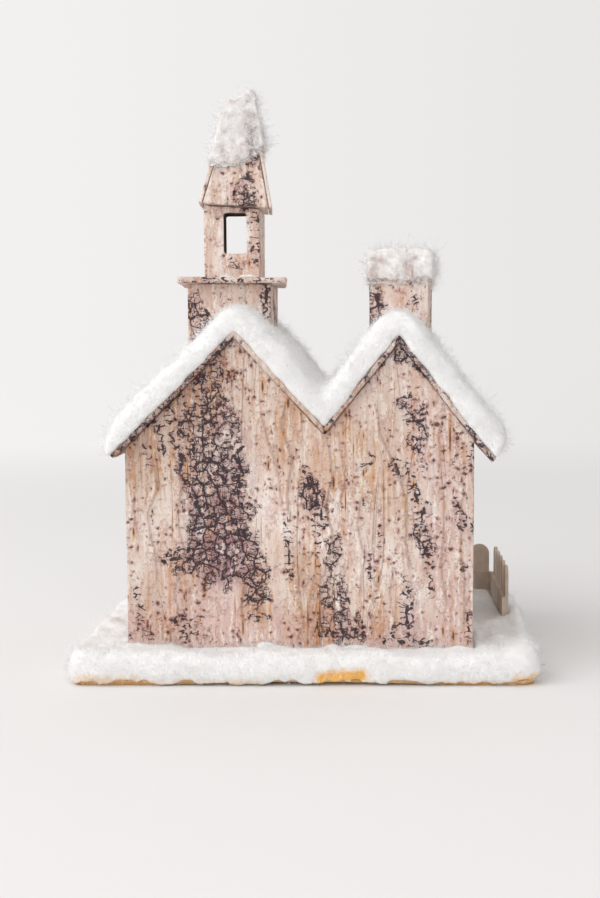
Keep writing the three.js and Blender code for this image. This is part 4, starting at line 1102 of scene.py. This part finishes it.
def glitter(name, pieces, count, seed, wanted, across=0.42):
    """Mica flakes strewn over pieces, each lying its own way."""
    chance = np.random.default_rng(seed)
    middle, up = surface_picks(pieces, count, chance, wanted)
    tilt = unit(up + 0.8 * chance.normal(size=(count, 3)))
    side = unit(np.cross(tilt, unit(chance.normal(size=(count, 3)))))
    size = (across * (0.55 + 0.8 * chance.random(count) ** 2) * MM)[:, None, None]
    ways = (side, np.cross(tilt, side), tilt)
    turned = sum(along(way, FLAKE_POINTS[None, :, axis]) for axis, way in enumerate(ways))
    points = (middle + up * 0.12 * MM)[:, None, :] + turned * size
    points[..., 2] = np.maximum(points[..., 2], 0.1 * MM)
    faces = repeated(FLAKE_FACES, len(FLAKE_POINTS), count)
    return mesh_piece(name, points.reshape(-1, 3), faces, MICA)


glitter("snow_glitter", [ground, roof_snow, cap_snow, chimney_snow], 2600, 61, exposed)
glitter("wall_glitter", papers, 2400, 62, low_down, across=0.36)


# Plain nodes that keep their shape
def named(ending):
    return [name for name in NODES if name.endswith(ending)]


def dress(material, names, bevel=0.0):
    """Gives CAD nodes that stay their material, and takes the sharpness off their edges."""
    for name in names:
        node = NODES[name]
        node.data.materials.clear()
        node.data.materials.append(material)
        if bevel:
            weld = node.modifiers.new("joined_up", "WELD")
            weld.merge_threshold = 0.01 * MM
            edge = node.modifiers.new("worn_edge", "BEVEL")
            edge.width, edge.segments, edge.limit_method = bevel * MM, 2, "ANGLE"


dress(BOARD, ["base_board"], bevel=0.5)
dress(TRIM, named("_fence"), bevel=0.25)
dress(TRIM, named("_frame"), bevel=0.2)
dress(FILM, named("_pane"))
dress(DOOR, ["front_door"], bevel=0.3)
dress(BRASS, ["door_knob"], bevel=0.1)


# Camera, lights and stage
# The photograph's size, the lens's focal length and the place of its axis, in pixels
PHOTO_WIDTH, PHOTO_HEIGHT = 600.0, 898.0
FOCAL_LENGTH = 1250.0
AXIS_X = 385.0


def look_from_the_back():
    """The photograph's camera: a 50 mm lens right of the middle, looking down a little on the back."""
    data = bpy.data.cameras.new("back_view")
    data.sensor_width = 36.0
    data.lens = FOCAL_LENGTH / PHOTO_HEIGHT * data.sensor_width
    data.shift_x = (PHOTO_WIDTH / 2 - AXIS_X) / PHOTO_HEIGHT
    data.clip_start, data.clip_end = 0.01, 20.0
    camera = bpy.data.objects.new("back_view", data)
    camera.location = (0.0406, -0.696, 0.1685)
    camera.rotation_euler = (math.radians(90.0 - 4.76), 0.0, 0.0)
    bpy.context.scene.collection.objects.link(camera)
    bpy.context.scene.camera = camera


look_from_the_back()
scene = bpy.context.scene
scene.view_settings.view_transform = "Standard"


def backdrop_group():
    """The pale backdrop's colour by direction, with painted light: a touch brighter to the left, the side the
    window light falls from.
    """
    tree, given, out = new_group("backdrop_painted_light", {"Direction": (0.0, 0.0, 0.0, 1.0)}, {"Color": "Color"})
    direction = vector_maths(tree, "NORMALIZE", given["Direction"])
    tone = fade(tree, place(tree, "ShaderNodeSeparateXYZ", {0: direction}).outputs[0], -0.45, 0.35)
    plug(tree, out["Color"], tint(tree, tone, (0.900, 0.888, 0.884, 1), (0.800, 0.787, 0.780, 1)))
    return tree


BACKDROP = backdrop_group()


def seen_rays(tree):
    """1 for what the camera, a reflection or a clear film sees."""
    rays = place(tree, "ShaderNodeLightPath").outputs
    return most(tree, rays["Is Camera Ray"], rays["Is Glossy Ray"], rays["Is Transmission Ray"])


def studio_world(strength):
    world = bpy.data.worlds.new("studio")
    scene.world = world
    world.use_nodes = True
    tree = world.node_tree
    light = tree.nodes["Background"]
    light.inputs["Color"].default_value = (1.0, 0.985, 0.97, 1.0)
    light.inputs["Strength"].default_value = strength
    direction = place(tree, "ShaderNodeTexCoord").outputs["Generated"]
    tone = use(tree, BACKDROP, Direction=direction)["Color"]
    seen = place(tree, "ShaderNodeBackground", {"Color": tone, "Strength": 1.0}).outputs[0]
    both = place(tree, "ShaderNodeMixShader", {0: seen_rays(tree), 1: light.outputs[0], 2: seen}).outputs[0]
    tree.links.new(both, tree.nodes["World Output"].inputs["Surface"])


def studio_floor(colour, near, far):
    """A pale round floor that holds the shadow near the house and runs into the backdrop farther out."""
    bpy.ops.object.select_all(action="DESELECT")
    bpy.ops.mesh.primitive_circle_add(vertices=96, radius=9.0, fill_type="NGON", location=(0, 0, 0))
    floor = bpy.context.object
    floor.name = "floor"
    material, tree, shader = new_material("studio_floor")
    spot = here(tree)
    feed(tree, shader, Base_Color=colour, Roughness=0.95, Specular_IOR_Level=0.1)
    tone = use(tree, BACKDROP, Direction=spot)["Color"]
    glow = place(tree, "ShaderNodeEmission", {"Color": tone, "Strength": 1.0}).outputs[0]
    distance = place(tree, "ShaderNodeVectorMath", {0: spot}, operation="LENGTH").outputs["Value"]
    amount = times(tree, fade(tree, distance, near, far), seen_rays(tree))
    both = place(tree, "ShaderNodeMixShader", {0: amount, 1: shader.outputs[0], 2: glow}).outputs[0]
    tree.links.new(both, tree.nodes["Material Output"].inputs["Surface"])
    floor.data.materials.append(material)


def soft_lamp(name, place_at, aim, size, power, colour=(1, 1, 1)):
    lamp = bpy.data.lights.new(name, "AREA")
    lamp.shape, lamp.size, lamp.size_y = "RECTANGLE", size[0], size[1]
    lamp.energy, lamp.color = power, colour
    holder = bpy.data.objects.new(name, lamp)
    holder.location = place_at
    holder.rotation_euler = (Vector(aim) - Vector(place_at)).to_track_quat("-Z", "Y").to_euler()
    scene.collection.objects.link(holder)


studio_world(0.70)
studio_floor((0.80, 0.792, 0.790, 1), 0.45, 1.6)
soft_lamp("window_light", (-1.7, -1.3, 1.6), (0, 0, 0.12), (2.8, 2.4), 51.0)
soft_lamp("front_light", (0.2, -2.8, 0.9), (0, 0, 0.14), (2.6, 1.6), 10.0)
